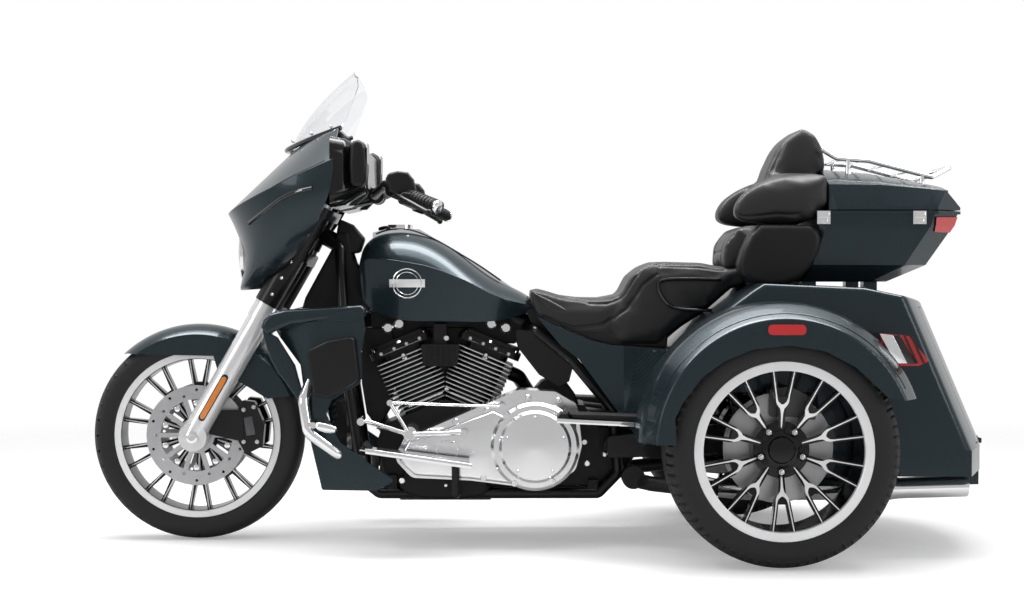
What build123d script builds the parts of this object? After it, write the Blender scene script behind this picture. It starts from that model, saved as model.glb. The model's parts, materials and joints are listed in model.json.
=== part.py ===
from build123d import *
from math import atan2, cos, degrees, radians, sin, sqrt, tan
import os

# Motorized trike with one steered front wheel, two rear wheels and a touring body.
# Millimetres. +X points forward, +Y to the rider's left, +Z up. The origin is on the ground,
# under the middle of the vehicle.

# ---- driving dimensions -------------------------------------------------------------
WHEELBASE = 1678
FRONT_OVERHANG = 318          # front tyre's foremost point to the front axle
OVERALL_LENGTH = 2660
HALF_TRACK = 560              # middle plane to the middle of a rear tyre
FRONT_TYRE_RADIUS = 318
FRONT_TYRE_WIDTH = 130
FRONT_RIM_RADIUS = 250
REAR_TYRE_RADIUS = 323
REAR_TYRE_WIDTH = 215
REAR_RIM_RADIUS = 245

HEAD_ANGLE = 26               # steering axis, from vertical
TRAIL = 99
LEG_ANGLE = 30                # fork legs, from vertical
LEG_SPREAD = 120              # middle plane to a fork leg
SLIDER_RADIUS = 36
FORK_TUBE_RADIUS = 24
FORK_COVER_RADIUS = 42
AXLE_RADIUS = 12.5
STEM_RADIUS = 19

FRAME_TUBE = 16               # cradle tube radius
CRADLE_SPREAD = 128
BACKBONE_RADIUS = 26
CRANKCASE_HALF_WIDTH = 108
PRIMARY_OUTER = 272           # middle plane to the primary cover's outer face
CYLINDER_LEAN = 22.5          # each cylinder, from vertical
CYLINDER_FINS = 13

TANK_HALF_WIDTH = 158
SEAT_HALF_WIDTH = 172
SEAT_TOP = 819
BODY_HALF_WIDTH = 440         # rear body, between the wheels
FENDER_OUTER = 694            # middle plane to a rear fender's outer face
BODY_WALL = 8
DECK_HEIGHT = 776             # rear body's top
BOX_HALF_WIDTH = 286
BOX_SEAM_HEIGHT = 985         # top box: where lid and base meet
BOX_FRONT = -838
BOX_WALL = 6

RUNNING_GAP = 0.4             # turning parts on their shafts
SOFT_GAP = 0.3                # pads beside hard parts
DOOR_GAP = 3                  # round the trunk door and the lid

# ---- places worked out from them ----------------------------------------------------
FRONT_AXLE_X = 1012           # where every drawing below starts from
FRONT_END = FRONT_AXLE_X + FRONT_OVERHANG
TAIL_END = FRONT_END - OVERALL_LENGTH
REAR_AXLE_X = FRONT_AXLE_X - WHEELBASE
STEM_GROUND_X = FRONT_AXLE_X + TRAIL
SOLE = REAR_TYRE_RADIUS


def stem_point(height, side=0):
    """Point of the steering axis at a height."""
    return Vector(STEM_GROUND_X - tan(radians(HEAD_ANGLE)) * height, side, height)


def leg_point(height, side=LEG_SPREAD):
    """Point of a fork leg's axis at a height."""
    return Vector(FRONT_AXLE_X + 6 - tan(radians(LEG_ANGLE)) * (height - FRONT_TYRE_RADIUS), side, height)


# ---- shaping helpers ----------------------------------------------------------------
def side_face(outline, side, corner=0):
    """Face in a plane of constant Y from (X, Z) points."""
    line = Polyline(*outline, close=True)
    if corner:
        line = FilletPolyline(*outline, radius=corner, close=True)
    return Plane(origin=(0, side, 0), x_dir=(1, 0, 0), z_dir=(0, -1, 0)) * make_face(line)


def slab(outline, near, far, corner=0):
    """(X, Z) outline pulled across from Y=near to Y=far."""
    return extrude(side_face(outline, near, corner), amount=far - near, dir=(0, 1, 0))


def plan_block(outline, low, high, corner=0):
    """(X, Y) outline pulled up from Z=low to Z=high."""
    line = Polyline(*outline, close=True)
    if corner:
        line = FilletPolyline(*outline, radius=corner, close=True)
    return extrude(Pos(0, 0, low) * make_face(line), amount=high - low, dir=(0, 0, 1))


def block(x, y, z):
    """Box between (low, high) pairs."""
    return Pos(x[0], y[0], z[0]) * Box(x[1] - x[0], y[1] - y[0], z[1] - z[0], align=(Align.MIN,) * 3)


def rod(start, end, radius):
    """Round bar between two points."""
    start, end = Vector(*start), Vector(*end)
    axis = end - start
    return Plane(origin=start, z_dir=axis) * Cylinder(radius, axis.length,
                                                      align=(Align.CENTER, Align.CENTER, Align.MIN))


def bent_rod(points, radius, bend):
    """Round bar along straight runs joined by arcs."""
    path = FilletPolyline(*points, radius=bend)
    return sweep(Plane(origin=path @ 0, z_dir=path % 0) * Circle(radius), path=path)


def cross_rod(x, z, near, far, radius):
    """Round bar along Y."""
    return rod((x, near, z), (x, far, z), radius)


def turned(outline):
    """(radius, along) outline turned about Z."""
    return revolve(Plane.XZ * make_face(Polyline(*outline, close=True)), axis=Axis.Z)


def on_axle(x, y, z, piece):
    """Moves a piece turned about Z so that its axis lies along Y."""
    return Pos(x, y, z) * Rot(X=-90) * piece


def pair(piece):
    """A piece and its mirror image across the middle plane."""
    return piece + mirror(piece, about=Plane.XZ)


def loft_yz(sections, corner):
    """Ruled skin through rounded (half width, low, high) rectangles at stations along X."""
    faces = []
    for station, half_width, low, high in sections:
        face = Plane(origin=(station, 0, (low + high) / 2), x_dir=(0, 1, 0), z_dir=(1, 0, 0))
        faces.append(face * RectangleRounded(2 * half_width, high - low, corner))
    return loft(faces, ruled=True)


# ---- wheels -------------------------------------------------------------------------
def tyre(radius, width, rim_radius, rim_width):
    """Tyre ring about Z whose bead slopes fit the rim's lips."""
    half, lip = width / 2, rim_width / 2
    upper = [(rim_radius - 10, lip - 9), (rim_radius, lip), ((rim_radius + radius) / 2, half),
             (radius - 0.03 * radius, 0.78 * half), (radius, 0.35 * half)]
    lower = [(r, -z) for r, z in reversed(upper)]
    return turned(upper + lower)


def rim_ring(rim_radius, rim_width):
    """Rim barrel about Z with a lip on each edge."""
    lip, seat, well = rim_width / 2, rim_radius - 10, rim_radius - 34
    outer = [(seat, lip - 9), (rim_radius, lip), (rim_radius - 3, lip + 1), (seat - 12, lip - 2)]
    inner = [(well + 10, lip - 28), (well + 8, -lip + 28)]
    return turned(outer + inner + [(r, -z) for r, z in reversed(outer)])


def forked_spokes(count, hub_radius, fork_radius, rim_radius, gap, depth):
    """Spokes about Z shaped like tuning forks, cut from a flat pattern; gap is half the fork's inner width."""
    tip = Vector(rim_radius * cos(radians(SPOKE_SPREAD)), rim_radius * sin(radians(SPOKE_SPREAD)))
    half = [(hub_radius, SPOKE_ARM * 0.7), (fork_radius - SPOKE_ARM, SPOKE_ARM), (fork_radius + 4, gap + SPOKE_ARM),
            (tip.X, tip.Y + SPOKE_ARM / 2), (tip.X, tip.Y - SPOKE_ARM / 2), (fork_radius + SPOKE_ARM, gap)]
    outline = [*half, *((x, -y) for x, y in reversed(half))]
    spoke = extrude(make_face(Polyline(*outline, close=True)), amount=depth / 2, both=True)
    return [Rot(Z=360 / count * (i + 0.5)) * spoke for i in range(count)]


SPOKE_COUNT = 10
SPOKE_SPREAD = 7.5             # a fork's tips, either side of its middle
SPOKE_ARM = 11
FRONT_RIM_WIDTH = 106
FRONT_HUB_HALF = 68
FRONT_HUB_RADIUS = 42
FRONT_DISC_RADIUS = 150
DISC_THICKNESS = 5


def make_front_rim():
    ring = rim_ring(FRONT_RIM_RADIUS, FRONT_RIM_WIDTH)
    bore = AXLE_RADIUS + RUNNING_GAP
    hub = turned([(bore, -FRONT_HUB_HALF), (FRONT_HUB_RADIUS, -FRONT_HUB_HALF), (FRONT_HUB_RADIUS, -38),
                  (62, -20), (62, 20), (FRONT_HUB_RADIUS, 38), (FRONT_HUB_RADIUS, FRONT_HUB_HALF),
                  (bore, FRONT_HUB_HALF)])
    web = turned([(50, -22), (FRONT_RIM_RADIUS - 24, -16), (FRONT_RIM_RADIUS - 24, 16), (50, 22)])
    spokes = forked_spokes(SPOKE_COUNT, 50, 146, FRONT_RIM_RADIUS - 16, 9, FRONT_RIM_WIDTH)
    for spoke in spokes:
        ring += spoke & web
    return on_axle(FRONT_AXLE_X, 0, FRONT_TYRE_RADIUS, ring + hub)


def make_front_tyre():
    ring = tyre(FRONT_TYRE_RADIUS, FRONT_TYRE_WIDTH, FRONT_RIM_RADIUS, FRONT_RIM_WIDTH)
    return on_axle(FRONT_AXLE_X, 0, FRONT_TYRE_RADIUS, ring)


def make_front_discs():
    """Floating discs: a braking ring on a spoked carrier, one each side of the hub."""
    ring = turned([(108, 0), (FRONT_DISC_RADIUS, 0), (FRONT_DISC_RADIUS, DISC_THICKNESS), (108, DISC_THICKNESS)])
    carrier = turned([(AXLE_RADIUS + 4, 0), (54, 0), (54, DISC_THICKNESS), (AXLE_RADIUS + 4, DISC_THICKNESS)])
    disc = ring + carrier
    for i in range(10):
        disc += Rot(Z=36 * i) * Pos(82, 0, DISC_THICKNESS / 2) * Box(58, 14, DISC_THICKNESS)
    for i in range(20):
        disc -= Rot(Z=18 * i) * Pos(122 + 14 * (i % 2), 0, 0) * Cylinder(4.5, 4 * DISC_THICKNESS)
    left = on_axle(FRONT_AXLE_X, FRONT_HUB_HALF, FRONT_TYRE_RADIUS, disc)
    return pair(left)


REAR_RIM_WIDTH = 196
STUB_RADIUS = 20
STUB_REACH = 28               # how far the axle's stub goes into the wheel's hub
REAR_HUB_RADIUS = 78
REAR_DISC_RADIUS = 152
FLANGE_RADIUS = 70


def make_rear_rim():
    ring = rim_ring(REAR_RIM_RADIUS, REAR_RIM_WIDTH)
    bore = STUB_RADIUS + RUNNING_GAP
    hub = turned([(bore, 0), (REAR_HUB_RADIUS, 0), (REAR_HUB_RADIUS, 30), (52, 38), (34, 38), (34, 46), (0, 46),
                  (0, STUB_REACH + RUNNING_GAP), (bore, STUB_REACH + RUNNING_GAP)])
    web = turned([(60, 2), (REAR_RIM_RADIUS - 24, 52), (REAR_RIM_RADIUS - 24, 84), (60, 34)])
    spokes = forked_spokes(SPOKE_COUNT, 60, 136, REAR_RIM_RADIUS - 16, 11, 2 * REAR_RIM_WIDTH)
    for spoke in spokes:
        ring += spoke & web
    for i in range(5):
        hub += Rot(Z=72 * i + 36) * Pos(56, 0, 36) * Cylinder(9, 16)
    return on_axle(REAR_AXLE_X, HALF_TRACK, SOLE, ring + hub)


def make_rear_tyre():
    ring = tyre(REAR_TYRE_RADIUS, REAR_TYRE_WIDTH, REAR_RIM_RADIUS, REAR_RIM_WIDTH)
    return on_axle(REAR_AXLE_X, HALF_TRACK, SOLE, ring)


def make_rear_disc():
    """Brake disc on the back of the wheel: a thick ring and its hat."""
    bore = STUB_RADIUS + RUNNING_GAP
    disc = turned([(bore, 0), (FLANGE_RADIUS, 0), (FLANGE_RADIUS, -26), (REAR_DISC_RADIUS, -26),
                   (REAR_DISC_RADIUS, -40), (58, -40), (58, -8), (bore, -8)])
    return on_axle(REAR_AXLE_X, HALF_TRACK, SOLE, disc)


# ---- fork and steering --------------------------------------------------------------
LOWER_CROWN_HEIGHT = 852
UPPER_CROWN_HEIGHT = 985
CROWN_THICKNESS = 32
SLIDER_TOP = 712
HEAD_TUBE_RADIUS = 34


def crown(height):
    """Clamp plate square to the steering axis, reaching both fork legs."""
    centre = stem_point(height)
    reach = leg_point(height).X - centre.X
    plane = Plane(origin=centre, x_dir=(cos(radians(HEAD_ANGLE)), 0, sin(radians(HEAD_ANGLE))),
                  z_dir=(-sin(radians(HEAD_ANGLE)), 0, cos(radians(HEAD_ANGLE))))
    plate = make_hull([*Circle(40).edges(), *(Pos(reach, LEG_SPREAD) * Circle(38)).edges(),
                       *(Pos(reach, -LEG_SPREAD) * Circle(38)).edges()])
    return plane * extrude(plate, amount=CROWN_THICKNESS / 2, both=True)


def make_fork_crowns():
    stem = rod(stem_point(LOWER_CROWN_HEIGHT), stem_point(UPPER_CROWN_HEIGHT), STEM_RADIUS)
    body = crown(LOWER_CROWN_HEIGHT) + crown(UPPER_CROWN_HEIGHT) + stem
    cover = rod(leg_point(SLIDER_TOP), leg_point(LOWER_CROWN_HEIGHT), FORK_COVER_RADIUS)
    sleeve = rod(leg_point(LOWER_CROWN_HEIGHT), leg_point(UPPER_CROWN_HEIGHT), FORK_TUBE_RADIUS + 6)
    body += pair(cover + sleeve)
    tube = rod(leg_point(SLIDER_TOP), leg_point(UPPER_CROWN_HEIGHT + 60), FORK_TUBE_RADIUS)
    stay = slab([(652, 1006), (820, 948), (820, 925), (652, 990)], -36, 36) - lamp_shell()
    return body + stay - pair(tube)


def make_fork_legs():
    slider = rod(leg_point(FRONT_TYRE_RADIUS), leg_point(SLIDER_TOP), SLIDER_RADIUS)
    boss = cross_rod(FRONT_AXLE_X, FRONT_TYRE_RADIUS, 80, 152, 42)
    tube = rod(leg_point(SLIDER_TOP), leg_point(UPPER_CROWN_HEIGHT + 24), FORK_TUBE_RADIUS)
    collar = rod(leg_point(SLIDER_TOP - 46), leg_point(SLIDER_TOP), SLIDER_RADIUS + 3)
    axle = cross_rod(FRONT_AXLE_X, FRONT_TYRE_RADIUS, -158, 158, AXLE_RADIUS)
    return pair(slider + boss + tube + collar) + axle


FENDER_GAP = 8
FENDER_WALL = 5
FENDER_HALF = 78


def make_front_fender():
    """Band round the tyre's top with side skirts, carried on the fork legs."""
    outer = FRONT_TYRE_RADIUS + FENDER_GAP + FENDER_WALL + 2
    half, fold = FENDER_HALF, outer - 30
    rings = []
    for wall in (0, FENDER_WALL):
        edge, side, low = fold - wall / 2, half - wall, 200 - wall
        face = make_face([ThreePointArc((edge, -side), (outer - wall, 0), (edge, side)), Line((edge, side), (low, side)),
                          Line((low, side), (low, -side)), Line((low, -side), (edge, -side))])
        rings.append(revolve(Plane.XZ * face, axis=Axis.Z))
    ring = on_axle(FRONT_AXLE_X, 0, FRONT_TYRE_RADIUS, rings[0] - rings[1])
    skirt = [(1258, 556), (1222, 562), (960, 556), (948, 513), (868, 470), (800, 428), (716, 436), (690, 470),
             (640, 560), (700, 700), (1010, 760), (1300, 700)]
    band = ring & slab(skirt, -200, 200)
    leg = rod(leg_point(480), leg_point(660), SLIDER_RADIUS)
    bracket = slab([(842, 540), (930, 540), (902, 600), (842, 600)], half - 1, 104) - leg
    return band + pair(bracket)


def make_front_calipers():
    """Four-piston calipers over the discs, behind the legs."""
    body = slab([(812, 286), (862, 262), (884, 300), (884, 400), (872, 424), (836, 420), (806, 350)], 54, 92, 6)
    slot = on_axle(FRONT_AXLE_X, FRONT_HUB_HALF - 3, FRONT_TYRE_RADIUS,
                   Cylinder(FRONT_DISC_RADIUS + 6, DISC_THICKNESS + 6, align=(Align.CENTER, Align.CENTER, Align.MIN)))
    lug = slab([(870, 300), (1000, 330), (1000, 392), (870, 396)], 84, 96)
    leg = rod(leg_point(280), leg_point(520), SLIDER_RADIUS)
    boss = cross_rod(FRONT_AXLE_X, FRONT_TYRE_RADIUS, 80, 152, 42)
    return pair(body - slot + lug - leg - boss)


# fairing sections from the chin up to the crease, then the roof: nose X, nose Z, rear edge X, rear edge Z, half width
FAIRING_SECTIONS = [(882, 752, 815, 757, 90), (886, 768, 729, 828, 186), (877, 820, 650, 915, 300),
                    (892, 915, 583, 1047, 382), (921, 979, 577, 1128, 378)]
FAIRING_ROOF = (726, 1167, 571, 1226, 240)
FAIRING_WALL = 5
LAMP_HEIGHT = 868
LAMP_RADIUS = 84
LAMP_FACE = 872


def nose_arc(section, shrink, stretch, lift):
    """Face bounded by an arc round the nose; shrink moves it in, stretch moves its open back, lift moves it up."""
    nose, nose_z, edge, edge_z, half = section
    left = (edge - stretch, half - shrink, edge_z + lift)
    right = (edge - stretch, shrink - half, edge_z + lift)
    return make_face([ThreePointArc(left, (nose - shrink, 0, nose_z + lift), right), Line(right, left)])


def fairing_form(shrink, stretch):
    """Full form of the fairing: a swept lower part, a crease and a flat-sided roof."""
    lower = [nose_arc(section, shrink, stretch, shrink if section is FAIRING_SECTIONS[0] else 0)
             for section in FAIRING_SECTIONS]
    crease = nose_arc(FAIRING_SECTIONS[-1], shrink, stretch, 0)
    return loft(lower) + loft([crease, nose_arc(FAIRING_ROOF, shrink, stretch, -shrink)], ruled=True)


def make_fairing():
    shell = fairing_form(0, 0) - fairing_form(FAIRING_WALL, 1)
    lamp = rod((700, 0, LAMP_HEIGHT), (1000, 0, LAMP_HEIGHT), LAMP_RADIUS)
    covers = pair(rod(leg_point(700), leg_point(890), FORK_COVER_RADIUS + 3))
    return shell - lamp - covers


def lamp_shell():
    return rod((770, 0, LAMP_HEIGHT), (LAMP_FACE, 0, LAMP_HEIGHT), LAMP_RADIUS)


def make_headlamp():
    """Round lamp in the fairing's nose with a ring and a domed lens."""
    lens = Pos(LAMP_FACE, 0, LAMP_HEIGHT) * Rot(Y=90) * turned([(0, 0), (LAMP_RADIUS - 8, 0), (LAMP_RADIUS - 20, 5), (0, 8)])
    ring = rod((LAMP_FACE, 0, LAMP_HEIGHT), (LAMP_FACE + 8, 0, LAMP_HEIGHT), LAMP_RADIUS)
    ring -= rod((LAMP_FACE - 8, 0, LAMP_HEIGHT), (LAMP_FACE + 10, 0, LAMP_HEIGHT), LAMP_RADIUS - 8)
    return lamp_shell() + lens + ring


INNER_FAIRING_BACK = 490


def make_inner_fairing():
    """Black panel that closes the fairing behind, with a notch for the handlebar's clamp."""
    sections = [(586, 372, 992, 1196), (545, 352, 1000, 1190), (INNER_FAIRING_BACK, 300, 1036, 1160)]
    panel = loft_yz(sections, 40)
    roof = slab([(600, 1190), (500, 1212), (500, 1300), (600, 1300)], -500, 500)
    notch = block((480, 600), (-72, 72), (980, 1062))
    return panel - fairing_form(0, 0) - roof - notch - make_mirrors()


SHIELD_THICKNESS = 5


def make_windshield():
    """Curved clear sheet that rises from the fairing's top."""
    stations = [(1165, 738, 560, 208), (1285, 668, 530, 205), (1404, 544, 508, 180)]
    skins = []
    for grow in (0, SHIELD_THICKNESS):
        faces = []
        for height, middle, edge, half in stations:
            tip = (edge - (2 if grow else 0), half - grow)
            arc = ThreePointArc(tip, (middle - grow, 0), (tip[0], -tip[1]))
            faces.append(Pos(0, 0, height) * make_face([arc, Line((tip[0], -tip[1]), tip)]))
        skins.append(loft(faces))
    sheet = skins[0] - skins[1]
    trim = slab([(760, 1166 + SOFT_GAP), (560, 1229 + SOFT_GAP), (516, 1350), (520, 1374), (536, 1403), (760, 1403)], -400, 400, 0)
    return sheet & trim


BAR_RADIUS = 13
BAR_CLAMP = (474, 1036)       # (X, Z) of the bar at the middle
GRIP_ROOT = (366, 372, 1028)
GRIP_END = (276, 470, 990)
GRIP_RADIUS = 18


def grip_point(share):
    """Point on the left grip's line: 0 at its root, 1 at its end."""
    return Vector(*GRIP_ROOT) + (Vector(*GRIP_END) - Vector(*GRIP_ROOT)) * share


def half_bar():
    """Left half of the handlebar, from the clamp to the grip's end."""
    x, z = BAR_CLAMP
    return bent_rod([(x, 0, z), (x, 120, z), (x - 40, 250, z + 26), (x - 66, 318, z + 18), tuple(grip_point(0)),
                     tuple(grip_point(0.99))], BAR_RADIUS, 40)


def make_handlebar():
    """Bar, risers on the upper crown, switch boxes and hand levers."""
    x, z = BAR_CLAMP
    bar = pair(half_bar())
    top = stem_point(UPPER_CROWN_HEIGHT + 15)
    riser = rod((top.X - 4, 38, UPPER_CROWN_HEIGHT + 17), (x, 38, z), 17)
    clamp = cross_rod(x, z, 20, 58, 24)
    switch = rod(tuple(grip_point(-0.5)), tuple(grip_point(-0.06)), 25)
    lever_root = grip_point(-0.22) + Vector(26, 18, 0)
    lever_end = grip_point(1.02) + Vector(26, 30, -16)
    lever = rod(tuple(lever_root), tuple(lever_end), 6.5) + Pos(*lever_end) * Sphere(9.5)
    holder = rod(tuple(grip_point(-0.22)), tuple(lever_root), 12)
    upper = crown(UPPER_CROWN_HEIGHT)
    return bar + pair(riser + clamp + switch + lever + holder) - upper


def make_hand_grips():
    grip = rod(tuple(grip_point(0)), tuple(grip_point(1)), GRIP_RADIUS)
    grip += rod(tuple(grip_point(0)), tuple(grip_point(0.05)), GRIP_RADIUS + 4)
    return pair(grip - half_bar())


MIRROR_ROUND = 16


def make_mirrors():
    """Mirror housings on the fairing's upper corners."""
    housing = loft([Plane(origin=(at, 318, 1146), x_dir=(0, 1, 0), z_dir=(1, 0, 0)) * RectangleRounded(w, h, 20)
                    for at, w, h in ((532, 96, 52), (500, 120, 72), (480, 108, 62))])
    return pair(fillet(housing.faces().sort_by(Axis.X)[-1].edges(), MIRROR_ROUND))


# ---- frame and running gear -----------------------------------------------------------
CRADLE_HEIGHT = 150


SHOCK_TOP = 590
PIVOT = (-236, 292)           # (X, Z) of the swinging arm's pivot
PIVOT_RADIUS = 20


def cradle_path():
    """Left cradle tube, from the steering head down, under the engine and up to the seat."""
    return bent_rod([(640, 20, 918), (584, 42, 880), (568, 80, 640), (556, CRADLE_SPREAD, 500),
                     (510, CRADLE_SPREAD, 190), (460, CRADLE_SPREAD, CRADLE_HEIGHT),
                     (-190, CRADLE_SPREAD, CRADLE_HEIGHT), (-250, CRADLE_SPREAD, 212), (-232, CRADLE_SPREAD, 400),
                     (-110, CRADLE_SPREAD - 4, 548), (-6, 112, 632), (14, 56, 640), (24, 8, 646)], FRAME_TUBE, 20)


def backbone():
    """Large tube from the steering head back under the tank and seat."""
    return bent_rod([(652, 0, 926), (576, 0, 884), (548, 0, 796), (480, 0, 748), (60, 0, 668), (-210, 0, 560)],
                    BACKBONE_RADIUS, 34)


def make_frame():
    """Steering head, backbone and twin cradle tubes."""
    head = rod(stem_point(881), stem_point(957), HEAD_TUBE_RADIUS)
    cross = cross_rod(-246, 244, -CRADLE_SPREAD, CRADLE_SPREAD, FRAME_TUBE)
    rail = bent_rod([(-234, CRADLE_SPREAD, 400), (-330, CRADLE_SPREAD, 462), (TRUNK_FRONT + 6, CRADLE_SPREAD, 462)], 14, 30)
    upright = rod((-560, CRADLE_SPREAD, 462), (-560, CRADLE_SPREAD, SHOCK_TOP + 14), 12)
    wall = BODY_HALF_WIDTH - BODY_WALL
    cross += cross_rod(-560, SHOCK_TOP + 14, -wall, wall, 14) + pair(rail + upright)
    boss = cross_rod(*PIVOT, CRADLE_SPREAD - FRAME_TUBE, CRADLE_SPREAD + FRAME_TUBE, PIVOT_RADIUS + 10)
    gusset = slab([(56, 636), (0, 632), (-118, 536), (-104, 482), (-74, 466), (-14, 502), (50, 584)], 104, 120, 8)
    saddle = slab([(370, 720), (370, 820), (420, 820), (420, 720)], -30, 30) & tank_tunnel()
    frame = head + backbone() + saddle + pair(cradle_path() + boss + gusset) + cross
    return frame - rod(stem_point(860), stem_point(980), STEM_RADIUS + RUNNING_GAP) \
        - cross_rod(*PIVOT, -200, 200, PIVOT_RADIUS)


AXLE_TUBE = 38


def make_rear_axle():
    """Axle tubes with the differential housing, wheel flanges and the arms that carry it."""
    reach = HALF_TRACK
    tube = cross_rod(REAR_AXLE_X, SOLE, -(reach - 44), reach - 44, AXLE_TUBE)
    tube += cross_rod(REAR_AXLE_X, SOLE, -(reach + STUB_REACH), reach + STUB_REACH, STUB_RADIUS)
    case = on_axle(REAR_AXLE_X, 0, SOLE, turned([(0, -84), (70, -84), (104, -40), (104, 40), (70, 84), (0, 84)]))
    arm = slab([(-640, 280), (-640, 366), (-560, 360), (-214, 322), (-214, 262), (-300, 262)], 148, 186, 10)
    pivot = cross_rod(*PIVOT, -186, 186, PIVOT_RADIUS)
    return tube + case + pair(arm) + pivot


def make_shock_absorbers():
    """Coil-over units from the axle to the body."""
    low, high = Vector(REAR_AXLE_X + 60, 236, SOLE + 24), Vector(-560, 236, SHOCK_TOP + 6)
    body = rod(tuple(low), tuple(high), 20)
    for i in range(9):
        centre = low + (high - low) * (0.2 + 0.085 * i)
        body += Plane(origin=centre, z_dir=high - low) * Cylinder(31, 7)
    bar = cross_rod(low.X, low.Z, 186, 250, 12)
    return pair(body + bar - cross_rod(-560, SHOCK_TOP + 14, 190, 280, 14))


def make_rear_calipers():
    face = HALF_TRACK - 33
    body = slab([(-640, 410), (-700, 410), (-770, 400), (-742, 470), (-694, 494), (-640, 486)], face - 34, face + 30, 6)
    slot = on_axle(REAR_AXLE_X, face - 12, SOLE, Cylinder(REAR_DISC_RADIUS + 6, 24, align=(Align.CENTER, Align.CENTER, Align.MIN)))
    plate = on_axle(REAR_AXLE_X, face - 34, SOLE, turned([(AXLE_TUBE, 0), (60, 0), (60, 12), (AXLE_TUBE, 12)]))
    arm = slab([(-640, 360), (-700, 360), (-700, 420), (-640, 420)], face - 34, face - 22)
    arm -= cross_rod(REAR_AXLE_X, SOLE, face - 60, face + 60, AXLE_TUBE)
    return pair(body - slot + plate + arm)


# ---- engine ---------------------------------------------------------------------------
CRANK_X = 267
CRANK_Z = 263
CASE_TOP_FRONT = 372
CYLINDER_HALF = 66            # barrel half size across
FIN_HALF = 88
FIN_PITCH = 13
HEAD_HEIGHT = 186
FIN_THICKNESS = 5.5


def make_crankcase():
    """Crankcase, oil pan and the cam cover on the right."""
    outline = [(444, 372), (470, 300), (440, 196), (380, 172), (126, 172), (118, 260), (118, 372), (226, 438), (300, 430)]
    case = slab(outline, -CRANKCASE_HALF_WIDTH, CRANKCASE_HALF_WIDTH, 14)
    pan = slab([(420, 172), (400, 126), (130, 126), (118, 172)], -96, 96)
    cam = slab([(404, 356), (420, 250), (350, 190), (180, 190), (150, 260), (180, 352), (290, 396)], -172, -CRANKCASE_HALF_WIDTH, 22)
    cam += cross_rod(CRANK_X, CRANK_Z + 6, -182, -160, 62)
    for cylinder in cylinder_planes():
        case -= cylinder * Box(400, 400, 400, align=(Align.CENTER, Align.CENTER, Align.MIN))
    lug = block((408, 436), (90, CRADLE_SPREAD + 10), (158, 204)) - cradle_path()
    return case + pan + cam + pair(lug)


def cylinder_planes():
    """Seat planes of the two cylinders on the crankcase, axis along local Z."""
    planes = []
    for lean in (CYLINDER_LEAN, -CYLINDER_LEAN):
        axis = Vector(sin(radians(lean)), 0, cos(radians(lean)))
        seat = Vector(CRANK_X, 0, CRANK_Z) + axis * 152
        planes.append(Plane(origin=seat, x_dir=(cos(radians(lean)), 0, -sin(radians(lean))), z_dir=axis))
    return planes


def finned_cylinder():
    """Barrel, head and rocker box about Z, with cooling fins."""
    barrel = extrude(RectangleRounded(2 * CYLINDER_HALF, 2 * CYLINDER_HALF, 30), amount=HEAD_HEIGHT)
    for i in range(CYLINDER_FINS):
        spread = FIN_HALF - (8 if i < 2 else 0)
        fin = extrude(RectangleRounded(2 * spread, 2 * spread - 8, 24), amount=FIN_THICKNESS)
        barrel += Pos(0, 0, 8 + FIN_PITCH * i) * fin
    rocker = Pos(0, 0, HEAD_HEIGHT) * extrude(RectangleRounded(196, 160, 26), amount=22)
    rocker += Pos(0, 0, HEAD_HEIGHT + 22) * extrude(RectangleRounded(178, 140, 24), amount=14)
    return barrel + rocker


def make_cylinders():
    """The 45-degree pair, trimmed where their fins meet in the middle of the V."""
    front, rear = (plane * finned_cylinder() for plane in cylinder_planes())
    ahead = block((CRANK_X + 2, 900), (-200, 200), (300, 800))
    behind = block((-300, CRANK_X - 2), (-200, 200), (300, 800))
    return (front & ahead) + (rear & behind)


def make_coil_cover():
    """Ribbed box between the cylinders on the left, hung from the backbone."""
    box = slab([(230, 527), (331, 527), (338, 592), (222, 592)], FIN_HALF - 4, 118, 6)
    for i in range(5):
        box += block((241 + 17 * i, 248 + 17 * i), (117, 123), (533, 584))
    hanger = block((262, 300), (70, 96), (586, 652)) + block((262, 300), (-14, 96), (634, 652))
    hanger += block((262, 300), (-14, 14), (634, 700))
    return box + hanger - backbone()


def make_air_cleaner():
    """Air filter housing on the right of the cylinders."""
    housing = on_axle(CRANK_X, -232, 508, turned([(0, 0), (70, 0), (96, 18), (102, 60), (92, 84), (0, 84)]))
    return housing + cross_rod(CRANK_X, 508, -150, 4 - FIN_HALF, 34)


PRIMARY_INNER = CRANKCASE_HALF_WIDTH
PRIMARY_FACE = PRIMARY_OUTER - 16
SHIFT_PIVOT = (364, 338)      # (X, Z) of the shift lever's shaft


CLUTCH_RADIUS = 105
CLUTCH_CENTRE = (0, 301)      # (X, Z)


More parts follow.
